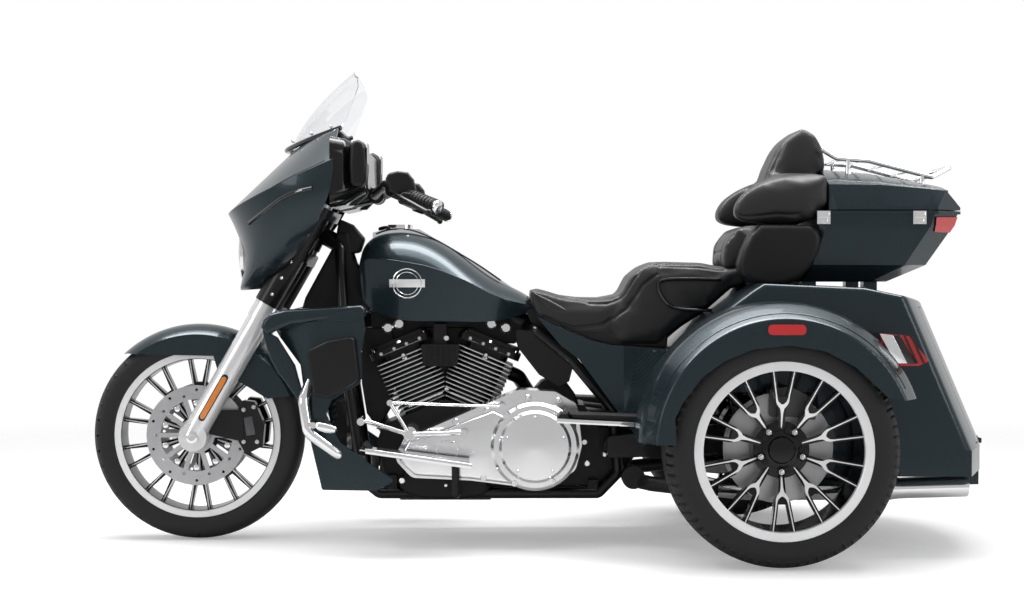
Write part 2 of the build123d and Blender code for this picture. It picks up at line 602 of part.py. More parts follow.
def make_primary_cover():
    """Chain case from the crankshaft back to the clutch, with a round clutch cover and an oval inspection cover."""
    outline = [(412, 262), (378, 330), (330, 341), (120, 432), (45, 464), (-60, 458), (-124, 420), (-138, 300),
               (-119, 228), (-60, 188), (45, 180), (188, 198), (360, 206)]
    inner = slab(outline, PRIMARY_INNER, PRIMARY_FACE - 34, 30)
    outer = slab([(398, 262), (366, 320), (320, 330), (120, 404), (84, 384), (40, 420), (-60, 420), (-118, 380),
                  (-126, 300), (-104, 232), (-52, 194), (45, 188), (184, 206), (350, 216)], PRIMARY_FACE - 36, PRIMARY_FACE, 14)
    outer = fillet(outer.faces().sort_by(Axis.Y)[-1].edges(), 9)
    x, z = CLUTCH_CENTRE
    housing = on_axle(x, PRIMARY_FACE - 34, z, turned([(0, 0), (129, 0), (129, 38), (120, 46), (0, 46)]))
    clutch = on_axle(x, PRIMARY_FACE + 10, z, turned([(0, 0), (CLUTCH_RADIUS, 0), (CLUTCH_RADIUS, 5), (97, 12), (0, 14)]))
    oval = slab([(222, 268), (286, 268), (286, 317), (222, 317)], PRIMARY_FACE - 10, PRIMARY_FACE + 7, 24)
    lug = cross_rod(*SHIFT_PIVOT, PRIMARY_INNER, PRIMARY_FACE, 20)
    return inner + outer + housing + clutch + oval + lug


def make_transmission():
    """Gearbox behind the crankcase."""
    case = slab([(118, 172), (118, 372), (40, 420), (-150, 410), (-196, 330), (-190, 172)], -104, PRIMARY_INNER)
    lug = block((-188, -160), (90, CRADLE_SPREAD + 10), (158, 190)) - cradle_path()
    return case + pair(lug)


def make_exhaust_pipes():
    """Head pipes on the right, a collector and the branch to the left muffler."""
    front_seat, rear_seat = cylinder_planes()
    port = {name: [tuple(seat.from_local_coords((side * out, -50, 140))) for out in (FIN_HALF, FIN_HALF + 30)]
            for name, seat, side in (("front", front_seat, 1), ("rear", rear_seat, -1))}
    front = bent_rod([*port["front"], (496, -96, 420), (462, -192, 320), (390, -212, 226), (250, -212, 214),
                      (-200, -206, 206), (-300, -230, 190), (-440, -350, 190), (-520, -350, 190)], 22, 22)
    rear = bent_rod([*port["rear"], (6, -150, 420), (-6, -212, 300), (-60, -212, 248), (-130, -208, 232)], 22, 22)
    box = rod((-60, -210, 226), (-190, -206, 208), 36)
    branch = bent_rod([(-290, -200, 190), (-290, 120, 190), (-340, 240, 190), (-440, 350, 190), (-520, 350, 190)], 22, 40)
    canister = cross_rod(-290, 204, 148, 206, 34)
    return front + rear + box + branch + canister


def make_mufflers():
    """Long oval mufflers under the body with bright tips."""
    silencer = loft([Plane(origin=(at, 350, z), x_dir=(0, 1, 0), z_dir=(-1, 0, 0)) * Ellipse(w, h)
                     for at, z, w, h in ((-520, 190, 26, 26), (-600, 190, 44, 34), (-1010, 190, 44, 34))], ruled=True)
    tip = loft([Plane(origin=(at, 350, z), x_dir=(0, 1, 0), z_dir=(-1, 0, 0)) * Ellipse(w, h)
                for at, z, w, h in ((-1010, 190, 44, 34), (-1040, 190, 40, 30), (-1232, 196, 42, 31))], ruled=True)
    bore = Plane(origin=(-1240, 350, 196), x_dir=(0, 1, 0), z_dir=(1, 0, 0)) * extrude(Ellipse(36, 25), amount=120)
    return pair(silencer + tip - bore)


def make_oil_cooler():
    """Finned cooler ahead of the engine between the cradle tubes."""
    core = block((560, 592), (-92, 92), (262, 420))
    for i in range(9):
        core += block((592, 604), (-88, 88), (270 + 17 * i, 274 + 17 * i))
    stay = block((540, 562), (-122, 122), (330, 350)) - pair(cradle_path())
    return core + stay


# ---- tank and seat --------------------------------------------------------------------
def tank_tunnel():
    """Room for the backbone under the tank."""
    return slab([(540, 600), (540, 826), (470, 792), (40, 704), (-40, 704), (-40, 600)], -40, 40)


# tank: station X, half width at the crease, floor, crease height, top
TANK_STATIONS = [(524, 88, 748, 812, 846), (490, 124, 702, 846, 908), (410, 150, 668, 841, 929),
                 (323, TANK_HALF_WIDTH, 662, 826, 916), (200, 152, 660, 779, 846), (100, 124, 664, 731, 778),
                 (-6, 82, 688, 698, 714)]


def make_fuel_tank():
    """Teardrop tank over the backbone with a crease along each side."""
    faces = []
    for at, half, low, crease, top in TANK_STATIONS:
        floor = half * 0.84
        outline = make_face([Line((-half, crease), (-floor, low)), Line((-floor, low), (floor, low)),
                             Line((floor, low), (half, crease)),
                             ThreePointArc((half, crease), (0, top), (-half, crease))])
        faces.append(Plane(origin=(at, 0, 0), x_dir=(0, 1, 0), z_dir=(1, 0, 0)) * outline)
    return loft(faces) - tank_tunnel()


def make_tank_console():
    """Bright strip along the tank's top with the filler cap."""
    crest = [(486, 926), (430, 941), (345, 936), (193, 848), (60, 757), (16, 728)]
    strip = slab([*crest, *((x, z - 40) for x, z in reversed(crest))], -30, 30)
    cap = Pos(404, 0, 942) * Cylinder(38, 16)
    return (strip + cap) - make_fuel_tank() - tank_tunnel()


def make_seat():
    """Two-up seat: rider's dip, rise and passenger's cushion."""
    rider = [(-10, 742), (-80, 712), (-202, 699), (-310, 704), (-310, 594), (-222, 602), (-163, 624), (-75, 664),
             (-34, 694)]
    rest = [(x, z + 1.5 * SOFT_GAP) for x, z in ((-627, 767.6), *reversed(BODY_SIDE[1:4]))]
    rear = [(-300, 702), (-316, 712), (-354, 768), (-399, 812), (-475, SEAT_TOP), (-627, SEAT_TOP), *rest, (-300, 594)]
    return slab(rider, -150, 150, 6) + slab(rear, -SEAT_HALF_WIDTH, SEAT_HALF_WIDTH, 4)


# ---- rear body ------------------------------------------------------------------------
REAR_SLOPE = 0.427            # how far the tail runs back for each unit down
TAIL_X = TAIL_END + 1         # tail at the middle, at the bumper seam
TAIL_SEAM = 305
TAIL_SWEEP = 108              # how far the tail's corners sit ahead of its middle
BUMPER_LOW = 190
DOOR_HALF_WIDTH = 330
DOOR_LOW = 318
DOOR_HIGH = 706
DOOR_THICKNESS = 22
DOOR_LAND = 18                # width of the step that the door closes on
DOOR_RELIEF = 15              # how far the top edge falls inwards, so that it swings clear of its frame


def tail_wedge(half_width, inset, low, high, front=-520, slope=REAR_SLOPE):
    """Body whose back is an arc in plan and leans forward upwards; inset moves the back in at its lower end."""
    shift = (low - TAIL_SEAM) * REAR_SLOPE
    corner, middle = TAIL_X + TAIL_SWEEP + inset + shift, TAIL_X + inset + shift
    base = make_face([Line((front, half_width), (corner, half_width)),
                      ThreePointArc((corner, half_width), (middle, 0), (corner, -half_width)),
                      Line((corner, -half_width), (front, -half_width)), Line((front, -half_width), (front, half_width))])
    rise = high - low
    return extrude(Pos(0, 0, low) * base, amount=rise * sqrt(1 + slope ** 2), dir=(slope, 0, 1))


BODY_SIDE = [(-390, 575), (-399, 583), (-488, 666), (-606, 754), (-640, DECK_HEIGHT), (TAIL_END + 405, 764),
             (TAIL_END + 310, 744), (TAIL_END + 170, 716), (TAIL_END - 170, 716), (TAIL_END - 170, 200),
             (TAIL_END + 289, 232), (-792, 232), (-792, 470), (-470, 470), (-390, 520)]
TAIL_CORNER = 30
DECK_ROUND = 14
TRUNK_FRONT = -792
TRUNK_FLOOR = 252


KNUCKLE = 4.5
KNUCKLE_LENGTH = 30
KNUCKLE_PLACES = (-150, 90)
DOOR_HINGE = (TAIL_END + 8, DOOR_LOW - 6)


def door_knuckle(at, radius, slack):
    """Hinge knuckle under the door's edge; slack opens it out into its pocket."""
    x, z = DOOR_HINGE
    barrel = cross_rod(x, z, at - slack, at + KNUCKLE_LENGTH + (RUNNING_GAP if slack else 0), radius)
    web = block((x - (20 if slack else 0), x + 8 + 2 * slack), (at - slack, at + KNUCKLE_LENGTH + (RUNNING_GAP if slack else 0)),
                (z - slack, DOOR_LOW + 2))
    return barrel + web


def make_trunk_body():
    """Painted tail between the wheels: deck, side walls, trunk tub and bumper."""
    outer = (tail_wedge(BODY_HALF_WIDTH, 0, TAIL_SEAM, 900, -160) & slab(BODY_SIDE, -600, 600)).solids()[0]
    uprights = outer.edges().filter_by(lambda e: e.center().X < TAIL_END + 280 and abs(e.tangent_at(0.5).Z) > 0.6)
    outer = fillet(uprights, TAIL_CORNER)
    high = outer.edges().filter_by(lambda e: e.center().Z > 700 and e.center().X < -615)
    rim = high.filter_by(lambda e: abs(e.tangent_at(0.5).Y) < 0.1 and abs(e.tangent_at(0.5).X) > 0.8)
    rim += high.filter_by(lambda e: e.center().X < TAIL_END + 300 and abs(e.center().Y) < 1
                          or abs(e.tangent_at(0.5).X) > 0.8 and abs(e.tangent_at(0.5).Y) > 0.1)
    outer = fillet(rim, DECK_ROUND)
    under = slab([(-360, 500), (-412, 566), (-496, 648), (-616, 740), (-786, 746), (-786, 200), (-360, 200)],
                 -BODY_HALF_WIDTH + BODY_WALL, BODY_HALF_WIDTH - BODY_WALL)
    front, corner, shoulder = TAIL_END + 289, TAIL_END + 104, TAIL_END + 32
    bumper = plan_block([(front, BODY_HALF_WIDTH), (front, -BODY_HALF_WIDTH), (corner, -BODY_HALF_WIDTH),
                         (shoulder, -240), (TAIL_END, 0), (shoulder, 240), (corner, BODY_HALF_WIDTH)], 232, TAIL_SEAM)
    skid = plan_block([(TAIL_END + 130, -270), (TAIL_END + 130, 270), (TAIL_END + 40, 262), (TAIL_END + 4, 0),
                       (TAIL_END + 40, -262)], BUMPER_LOW, 233)
    lower = block((front - 60, TRUNK_FRONT), (-BODY_HALF_WIDTH, BODY_HALF_WIDTH), (232, TAIL_SEAM))
    shell = outer + bumper + skid + lower - under
    tub = tail_wedge(BODY_HALF_WIDTH - BODY_WALL - 30, DOOR_THICKNESS + 12, TRUNK_FLOOR, 742, TRUNK_FRONT)
    tub = tub & slab([(TRUNK_FRONT - BODY_WALL, TRUNK_FLOOR), (TRUNK_FRONT - BODY_WALL, 742), (TAIL_END - 70, 704),
                      (TAIL_END - 70, 300), (TAIL_END + 90, 290), (TAIL_END + 130, TRUNK_FLOOR)], -600, 600)
    rebate = tail_panel(DOOR_THICKNESS + DOOR_GAP, DOOR_GAP)
    passage = tail_panel(DOOR_THICKNESS + 30, -DOOR_LAND)
    pockets = [door_knuckle(at, KNUCKLE + 1, 1) for at in KNUCKLE_PLACES]
    body = shell - tub - rebate - passage
    for pocket in pockets:
        body -= pocket
    for at in KNUCKLE_PLACES:
        end = at + KNUCKLE_LENGTH + RUNNING_GAP
        x, z = DOOR_HINGE
        body += cross_rod(x, z, end, end + KNUCKLE_LENGTH, KNUCKLE)
        body += block((x - KNUCKLE, x + 12), (end, end + KNUCKLE_LENGTH), (TAIL_SEAM - 4, z))
    return body


def tail_panel(thickness, margin):
    """Slice of the tail's skin behind the door, wider than the door by the margin on each side."""
    skin = tail_wedge(BODY_HALF_WIDTH, 0, TAIL_SEAM, 900) - tail_wedge(BODY_HALF_WIDTH + 50, thickness, TAIL_SEAM - 40, 920)
    reach = DOOR_HALF_WIDTH + margin
    return skin & block((TAIL_END - 170, TAIL_END + 330), (-reach, reach), (DOOR_LOW - margin, DOOR_HIGH + margin))


def make_trunk_door():
    """Rear door, hinged along its bottom edge."""
    lean = REAR_SLOPE - (DOOR_THICKNESS + 1) / (DOOR_RELIEF - 0.5)
    relief = tail_wedge(BODY_HALF_WIDTH, DOOR_THICKNESS + 1, DOOR_HIGH - DOOR_RELIEF, DOOR_HIGH + 1, slope=lean)
    door = tail_panel(DOOR_THICKNESS, 0) - relief
    for at in KNUCKLE_PLACES:
        door += door_knuckle(at, KNUCKLE, 0)
    return door


FENDER_THICKNESS = 10
FENDER_RISE = 13              # fender's own centre above the wheel's
FENDER_CROWN = 391            # that centre to the fender's crown
FENDER_ROLL = 346             # that centre to the top of the flat outer band
# (X, Z) round the opening that shows the tyre
FENDER_OPENING = [(-371, 250), (-371, 344), (-367, 415), (-388, 458), (-441, 528), (-500, 570), (-573, 600),
                  (-675, 612), (-770, 596), (-852, 553), (-941, 470), (-962, 464), (-1100, 464), (-1100, 250)]


def fender_form(wall):
    """Crowned band turned about the wheel's axis, moved in by the wall."""
    root, edge = BODY_HALF_WIDTH - (1 if wall else 0), FENDER_OUTER - wall
    crown, roll = FENDER_CROWN - wall, FENDER_ROLL - wall
    ring = Polyline((root, 180), (root, crown), (edge - 84, crown), (edge, roll), (edge, 180), close=True)
    section = make_face(ring)
    corners = section.vertices().filter_by_position(Axis.X, edge - 85, edge - 83)
    section = fillet(corners.filter_by_position(Axis.Y, crown - 1, crown + 1), 72 - wall)
    corners = section.vertices().filter_by_position(Axis.X, edge - 1, edge + 1)
    section = fillet(corners.filter_by_position(Axis.Y, roll - 1, roll + 1), 12 - wall / 2)
    ring = revolve(Plane.YZ * section, axis=Axis.Y)
    return Pos(REAR_AXLE_X, 0, SOLE + FENDER_RISE) * ring


def make_rear_fenders():
    """Wide fenders over the wheels: a crowned top and an outer band with an open arch."""
    foot = slab([(-1100, -90), (-1100, 464), (-962, 464), (-666, 344), (-240, 344), (-240, -90)], 400, 720)
    opening = slab(FENDER_OPENING, BODY_HALF_WIDTH - 4, FENDER_OUTER + 10)
    return pair(fender_form(0) - fender_form(FENDER_THICKNESS) - foot - opening)


def make_side_covers():
    """Painted panels below the seat that widen into the rear body."""
    side = [(-4, 680), (-70, 646), (-163, 608), (-222, 594), (-398, 581), (-398, 400), (-384, 386), (-311, 306),
            (-134, 548), (-75, 593)]
    plan = plan_block([(0, 168), (-120, 196), (-260, 222), (-380, BODY_HALF_WIDTH - 2), (-390, BODY_HALF_WIDTH - 2),
                       (-390, 190), (-200, 190), (-120, 178), (0, 153)], 280, 700)
    return pair(plan & slab(side, 100, 500, 2))


def make_lamps():
    """Red tail lamps, side markers and the lamps on the top box's corners."""
    tail = slab([(-950, 640), (-1010, 634), (-1066, 566), (-1038, 553), (-960, 553)], 520, 610, 6) - fender_form(0)
    marker = slab([(-615, 640), (-615, 668), (-717, 668), (-717, 640)], FENDER_OUTER, FENDER_OUTER + 5, 12)
    box = (box_form(3) - box_form(0)) & slab([(-1160, 966), (-1300, 970), (-1300, 921), (-1160, 924)], 120, 320)
    return pair(tail + marker + box)


# ---- top box ----------------------------------------------------------------------------
# height, front X, back X, half width, chamfer of the back corners
BOX_SECTIONS = [(779, -765, -1040, 214, 60), (828, -785, -1150, 262, 78), (943, -823, -1228, 283, 84),
                (BOX_SEAM_HEIGHT, BOX_FRONT, -1242, BOX_HALF_WIDTH, 84)]
# lid: station X, height of the middle, height of the shoulder, half width at the shoulder
LID_STATIONS = [(-850, 1119, 1062, 268), (-1000, 1106, 1060, 268), (-1150, 1078, 1048, 262), (-1260, 1054, 1038, 254)]
LID_BACK = -1247
LID_SHOULDER_BACK = -1200
HINGE_RADIUS = 6
BEAD = 5
RACK_HALF_WIDTH = 132
RACK_RAIL = 7
RACK_BAR = 5
HINGE_SIDE = -(BOX_HALF_WIDTH + 10)
HINGE_HEIGHT = BOX_SEAM_HEIGHT + 1.5


def box_plan(front, back, half, chamfer, grow):
    """(X, Y) outline with small front corners and chamfered back ones."""
    front, back, half = front + grow, back - grow, half + grow
    return [(front, half - 20), (front - 20, half), (back + chamfer, half), (back, half - chamfer),
            (back, chamfer - half), (back + chamfer, -half), (front - 20, -half), (front, 20 - half)]


def box_form(grow, low=BOX_SECTIONS[0][0]):
    """Flat-faced tub; grow moves its faces out, low is the height of its floor."""
    faces = []
    for height, front, back, half, chamfer in BOX_SECTIONS:
        outline = Polyline(*box_plan(front, back, half, chamfer, grow), close=True)
        faces.append(Pos(0, 0, max(height, low)) * make_face(outline))
    return loft(faces, ruled=True)


def box_bead():
    """Bead round the sides and back of the tub's upper edge, left out along the hinge."""
    bead = plan_block(box_plan(*BOX_SECTIONS[-1][1:], BEAD), BOX_SEAM_HEIGHT - 9, BOX_SEAM_HEIGHT)
    bead -= block((-1165, -925), (HINGE_SIDE - BEAD, -BOX_HALF_WIDTH), (900, 1000))
    return bead - slab([(-700, 900), (-700, 1000), (-852, 1000), (-852, 900)], -400, 400)


def make_top_box_base():
    """Hollow tub with a rim, feet on the deck and hinge knuckles on its right."""
    tub = box_form(0) - box_form(-BOX_WALL, BOX_SECTIONS[0][0] + BOX_WALL)
    tub += box_bead() - plan_block(box_plan(*BOX_SECTIONS[-1][1:], -BOX_WALL), BOX_SEAM_HEIGHT - 20, BOX_SEAM_HEIGHT + 10)
    foot = block((-830, -790), (120, 170), (745, 781)) + block((-1010, -970), (120, 170), (700, 781))
    foot -= slab(BODY_SIDE, -600, 600)
    for x in (-930, -1080):
        tub += rod((x, HINGE_SIDE, HINGE_HEIGHT), (x - 40, HINGE_SIDE, HINGE_HEIGHT), HINGE_RADIUS)
        tub += block((x - 40, x), (HINGE_SIDE, HINGE_SIDE + 12), (BOX_SEAM_HEIGHT - 12, BOX_SEAM_HEIGHT))
    return tub + pair(foot)


def lid_form(grow):
    """Crowned lid with a crease along each shoulder and a sloped back."""
    faces = []
    low = BOX_SEAM_HEIGHT + DOOR_GAP
    for station, middle, shoulder, half in LID_STATIONS:
        side = BOX_HALF_WIDTH + 3 + grow
        half, shoulder, middle = half + grow, shoulder + grow, middle + grow
        outline = make_face([Line((-side, low), (-side, low + 8)), Line((-side, low + 8), (-half, shoulder)),
                             ThreePointArc((-half, shoulder), (0, middle), (half, shoulder)),
                             Line((half, shoulder), (side, low + 8)), Line((side, low + 8), (side, low)),
                             Line((side, low), (-side, low))])
        faces.append(Plane(origin=(station + grow * (station == LID_STATIONS[0][0]), 0, 0), x_dir=(0, 1, 0),
                           z_dir=(1, 0, 0)) * outline)
    chamfer = BOX_SECTIONS[-1][4]
    plan = plan_block(box_plan(-850, LID_BACK, BOX_HALF_WIDTH + 3, chamfer, grow), low, 1200)
    back = slab([(-700, low), (-700, 1200), (LID_SHOULDER_BACK + 30 - grow, 1200),
                 (LID_SHOULDER_BACK - grow, LID_STATIONS[-1][2]), (LID_BACK - grow, low + 8), (LID_BACK - grow, low)],
                -400, 400)
    return loft(faces, ruled=True) & plan & back


def make_top_box_lid():
    lid = lid_form(0) - lid_form(-BOX_WALL)
    for x in (-970 - RUNNING_GAP, -1120 - RUNNING_GAP):
        lid += rod((x, HINGE_SIDE, HINGE_HEIGHT), (x - 40, HINGE_SIDE, HINGE_HEIGHT), HINGE_RADIUS)
        lid += block((x - 40, x), (HINGE_SIDE, HINGE_SIDE + 12), (BOX_SEAM_HEIGHT + DOOR_GAP, BOX_SEAM_HEIGHT + 14))
    return lid


def make_luggage_rack():
    """Chrome rails and cross bars on feet over the lid."""
    rack = pair(bent_rod([(-850, RACK_HALF_WIDTH, 1172), (-896, RACK_HALF_WIDTH, 1144), (-992, RACK_HALF_WIDTH, 1137),
                          (-1180, RACK_HALF_WIDTH, 1088), (-1235, 110, 1116)], RACK_RAIL, 24))
    for x, z in ((-912, 1143), (-970, 1139), (-1040, 1125), (-1110, 1107), (-1172, 1090)):
        rack += cross_rod(x, z, -RACK_HALF_WIDTH, RACK_HALF_WIDTH, RACK_BAR)
    rack += cross_rod(-1235, 1116, -110, 110, RACK_RAIL)
    foot = rod((-930, RACK_HALF_WIDTH, 1142), (-930, RACK_HALF_WIDTH, 1040), RACK_RAIL)
    foot += rod((-1150, RACK_HALF_WIDTH, 1094), (-1150, RACK_HALF_WIDTH, 1030), RACK_RAIL)
    return rack + pair(foot) - lid_form(0)


LATCH_SIDE = 282              # inner side of the latches


def make_box_latches():
    latch = slab([(-812, 946), (-850, 946), (-850, 984), (-812, 984)], LATCH_SIDE, LATCH_SIDE + 16) \
        + slab([(-1089, 946), (-1127, 946), (-1127, 984), (-1089, 984)], LATCH_SIDE, LATCH_SIDE + 16)
    return latch - box_form(0) - box_bead()


def make_speaker_pods():
    """Housings at the sides of the passenger, ahead of the top box."""
    side = [(-590, 799), (-607, 871), (-651, 942), (-845, 942), (-780, 760), (-650, 760)]
    body = slab(side, 176, 286, 14)
    return pair(body - box_form(0) - slab(BODY_SIDE, 100, 400))


def make_passenger_pad():
    """Lower back cushion between the pods."""
    low = SEAT_TOP + SOFT_GAP
    side = [(-556, low), (-561, 888), (-599, 938), (-815, 938), (-780, 840), (-760, 800), (-640, 790), (-632, low)]
    return slab(side, -160, 160, 8) - box_form(SOFT_GAP)


def make_backrest():
    """Tall pad with its wrap-round arms, carried on the lid."""
    wing = [(-574, 968), (-577, 1000), (-600, 1033), (-644, 1061), (-710, 1079), (-851, 1090), (-851, 993), (-826, 990),
            (-812, 958), (-760, 952), (-602, 952)]
    arms = slab(wing, 190, LATCH_SIDE - 4, 6)
    back = slab([(-700, 952), (-760, 948), (-812, 958), (-826, 990), (-851, 993), (-851, 1092), (-700, 1090),
                 (-664, 1020)], -200, 200, 2)
    pad = slab([(-690, 1040), (-700, 1100), (-747, 1205), (-799, 1243), (-838, 1222), (-862, 1180), (-872, 1120),
                (-850, 1090), (-850, 1010)], -118, 118, 8)
    return pair(arms) + back + pad - lid_form(SOFT_GAP)


# ---- fairings on the frame, guards and controls -----------------------------------------
GUARD_RADIUS = 16


def guard_path(radius):
    """Left half of the engine guard."""
    return bent_rod([(566, 138, 520), (640, 290, 520), (664, 346, 440), (650, 350, 350), (560, 330, 280),
                     (516, 138, 250)], radius, 36)


def make_engine_guard():
    return pair(guard_path(GUARD_RADIUS) - cradle_path())


def glove_box_outline():
    return [(652, 584), (589, 613), (517, 625), (503, 498), (589, 447), (632, 455)]


GLOVE_CORNER = 14
GLOVE_FACE = 364


def lower_fairing_shell():
    side = [(754, 642), (674, 676), (494, 705), (486, 642), (497, 599), (500, 490), (585, 440), (600, 400), (560, 320),
            (403, 211), (455, 183), (612, 183), (646, 326), (675, 541)]
    plan = plan_block([(760, 246), (735, 286), (640, 328), (480, 350), (396, 350), (396, 338), (478, 338),
                       (632, 316), (720, 276), (744, 246)], 150, 750)
    return plan & slab(side, 200, 400, 7)


def make_lower_fairings():
    """Painted leg shields on the engine guard."""
    pocket = slab(glove_box_outline(), 200, 400, GLOVE_CORNER)
    return pair(lower_fairing_shell() - pocket - guard_path(GUARD_RADIUS))


def make_glove_boxes():
    """Black lidded boxes set into the leg shields."""
    box = slab(glove_box_outline(), 268, GLOVE_FACE, GLOVE_CORNER)
    box = fillet(box.faces().sort_by(Axis.Y)[-1].edges(), 8)
    return pair(box - guard_path(GUARD_RADIUS))


BOARD_SIDE = (300, 424)


def rider_board():
    return slab([(492, 318), (468, 292), (194, 258), (190, 266), (464, 300), (486, 324)], *BOARD_SIDE)


def make_footboards():
    """Rider's and passenger's boards with their stays."""
    low, high = BOARD_SIDE
    rider = rider_board()
    rider += rod((230, 140, 147), (230, 300, 166), 11) + rod((230, 300, 166), (230, 324, 262), 11)
    rider += rod((470, 140, 166), (462, 330, 292), 11)
    passenger = slab([(-86, 410), (-98, 391), (-298, 380), (-300, 388), (-102, 399), (-92, 416)], low + 26, high + 10)
    passenger += rod((-234, 134, 385), (-160, 200, 390), 10) + rod((-160, 200, 390), (-150, 332, 388), 10)
    return pair(rider + passenger - cradle_path())


def make_foot_controls():
    """Heel-toe shifter on the left, brake pedal on the right."""
    x, z = SHIFT_PIVOT
    side = PRIMARY_FACE + 26
    shifter = cross_rod(x, z, PRIMARY_FACE, side + 12, 13)
    shifter += rod((x, side, z), (x + 136, side, z + 42), 7) + cross_rod(x + 136, z + 42, side - 10, side + 66, 11)
    shifter += rod((x, side, z), (x - 158, side, z + 5), 7) + cross_rod(x - 158, z + 5, side - 10, side + 56, 11)
    shifter += rod((x, side, z), (x + 56, side, z + 92), 6) + cross_rod(x + 56, z + 92, side - 8, side + 8, 9)
    link = rod((x + 56, side, z + 92), (96, side, 418), 4) + cross_rod(96, 418, PRIMARY_FACE, side + 8, 9)
    low = BOARD_SIDE[0] + 30
    pedal = rod((440, -low, 296), (500, -low, 352), 7) + block((486, 522), (-low - 34, -low + 18), (346, 358))
    return shifter + link + (pedal - mirror(rider_board(), about=Plane.XZ))


PARTS = {
    "frame": make_frame, "crankcase": make_crankcase, "cylinders": make_cylinders,
    "primary_cover": make_primary_cover, "transmission": make_transmission, "air_cleaner": make_air_cleaner,
    "coil_cover": make_coil_cover, "exhaust_pipes": make_exhaust_pipes, "mufflers": make_mufflers,
    "oil_cooler": make_oil_cooler, "fuel_tank": make_fuel_tank, "tank_console": make_tank_console,
    "seat": make_seat, "side_covers": make_side_covers, "trunk_body": make_trunk_body,
    "trunk_door": make_trunk_door, "rear_fenders": make_rear_fenders, "lamps": make_lamps,
    "rear_axle": make_rear_axle, "shock_absorbers": make_shock_absorbers, "rear_calipers": make_rear_calipers,
    "top_box_base": make_top_box_base, "top_box_lid": make_top_box_lid, "luggage_rack": make_luggage_rack,
    "box_latches": make_box_latches, "speaker_pods": make_speaker_pods, "passenger_pad": make_passenger_pad,
    "backrest": make_backrest, "engine_guard": make_engine_guard, "lower_fairings": make_lower_fairings,
    "glove_boxes": make_glove_boxes, "footboards": make_footboards, "foot_controls": make_foot_controls,
    "fork_crowns": make_fork_crowns, "fork_legs": make_fork_legs, "front_fender": make_front_fender,
    "front_calipers": make_front_calipers, "fairing": make_fairing, "inner_fairing": make_inner_fairing,
    "windshield": make_windshield, "headlamp": make_headlamp, "handlebar": make_handlebar,
    "hand_grips": make_hand_grips, "mirrors": make_mirrors, "front_rim": make_front_rim,
    "front_tyre": make_front_tyre, "front_discs": make_front_discs,
}

if __name__ == "__main__":
    os.makedirs("parts", exist_ok=True)
    middle = Pos(-(FRONT_END + TAIL_END) / 2, 0, 0)
    for name, make in PARTS.items():
        export_step(middle * make(), f"parts/{name}.step")
    for side, flip in (("left", False), ("right", True)):
        for name, make in (("rim", make_rear_rim), ("tyre", make_rear_tyre), ("disc", make_rear_disc)):
            piece = make()
            if flip:
                piece = mirror(piece, about=Plane.XZ)
            export_step(middle * piece, f"parts/rear_{name}_{side}.step")
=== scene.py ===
import json
import math

import bmesh
import bpy
from bpy.props import FloatProperty, FloatVectorProperty, PointerProperty
from mathutils import Matrix, Vector
from mathutils.bvhtree import BVHTree
from mathutils.kdtree import KDTree


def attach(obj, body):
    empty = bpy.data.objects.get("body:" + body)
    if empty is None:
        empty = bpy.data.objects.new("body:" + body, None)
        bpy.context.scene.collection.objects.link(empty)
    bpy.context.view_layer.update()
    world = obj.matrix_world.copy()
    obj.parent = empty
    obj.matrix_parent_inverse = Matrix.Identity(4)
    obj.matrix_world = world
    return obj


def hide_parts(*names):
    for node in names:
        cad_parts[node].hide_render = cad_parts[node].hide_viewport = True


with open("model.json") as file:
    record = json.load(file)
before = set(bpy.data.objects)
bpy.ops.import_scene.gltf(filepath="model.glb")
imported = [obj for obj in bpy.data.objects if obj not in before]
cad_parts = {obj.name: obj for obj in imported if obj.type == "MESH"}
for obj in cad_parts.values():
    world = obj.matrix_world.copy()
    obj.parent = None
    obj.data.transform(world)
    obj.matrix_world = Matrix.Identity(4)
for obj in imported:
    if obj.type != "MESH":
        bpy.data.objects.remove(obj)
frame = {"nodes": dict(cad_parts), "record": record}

bl_info = {
    "name": "Touring Trike Dressing",
    "version": (1, 0, 0),
    "blender": (4, 5, 0),
    "location": "View3D > Sidebar > Trike",
    "description": "Dresses the packed touring trike with its finishes, tyres, upholstery and trim",
    "category": "Object",
}

SCENE = bpy.context.scene
NODES = frame["nodes"]
BODY_OF = {node: body for body, nodes in frame["record"]["behaviour"]["bodies"].items() for node in nodes}
SLOT_OF = {row["node"]: row["material_slot"] for row in frame["record"]["subparts"]}
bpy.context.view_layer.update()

MM = 0.001
FORWARD, OUT, UP = (1, 0, 0), (0, 1, 0), (0, 0, 1)     # OUT is to the rider's left
FRONT_AXLE = Vector((1.012, 0, 0.318))
REAR_AXLE = Vector((-0.666, 0.56, 0.323))
WELD_GAP = 0.00002             # metres between points that are one
SIGHT_START = 1200             # Y in millimetres, left of the whole machine


# ---- finishes --------------------------------------------------------------------------
def put(tree, node, values):
    """Sets a node's inputs, or links those whose value is another node's output."""
    for label, value in values.items():
        if isinstance(value, bpy.types.NodeSocket):
            tree.links.new(value, node.inputs[label])
        else:
            node.inputs[label].default_value = value


def add(tree, kind, values, **settings):
    """Adds a shader node with its own settings and its inputs."""
    node = tree.nodes.new("ShaderNode" + kind)
    for name, value in settings.items():
        setattr(node, name, value)
    put(tree, node, values)
    return node


def math_node(tree, kind, a, b):
    return add(tree, "Math", {0: a, 1: b}, operation=kind).outputs[0]


def tint(tree, base, other, factor):
    """One colour that fades to another by a mask."""
    return add(tree, "Mix", {6: base, 7: other, 0: factor}, data_type="RGBA").outputs[2]


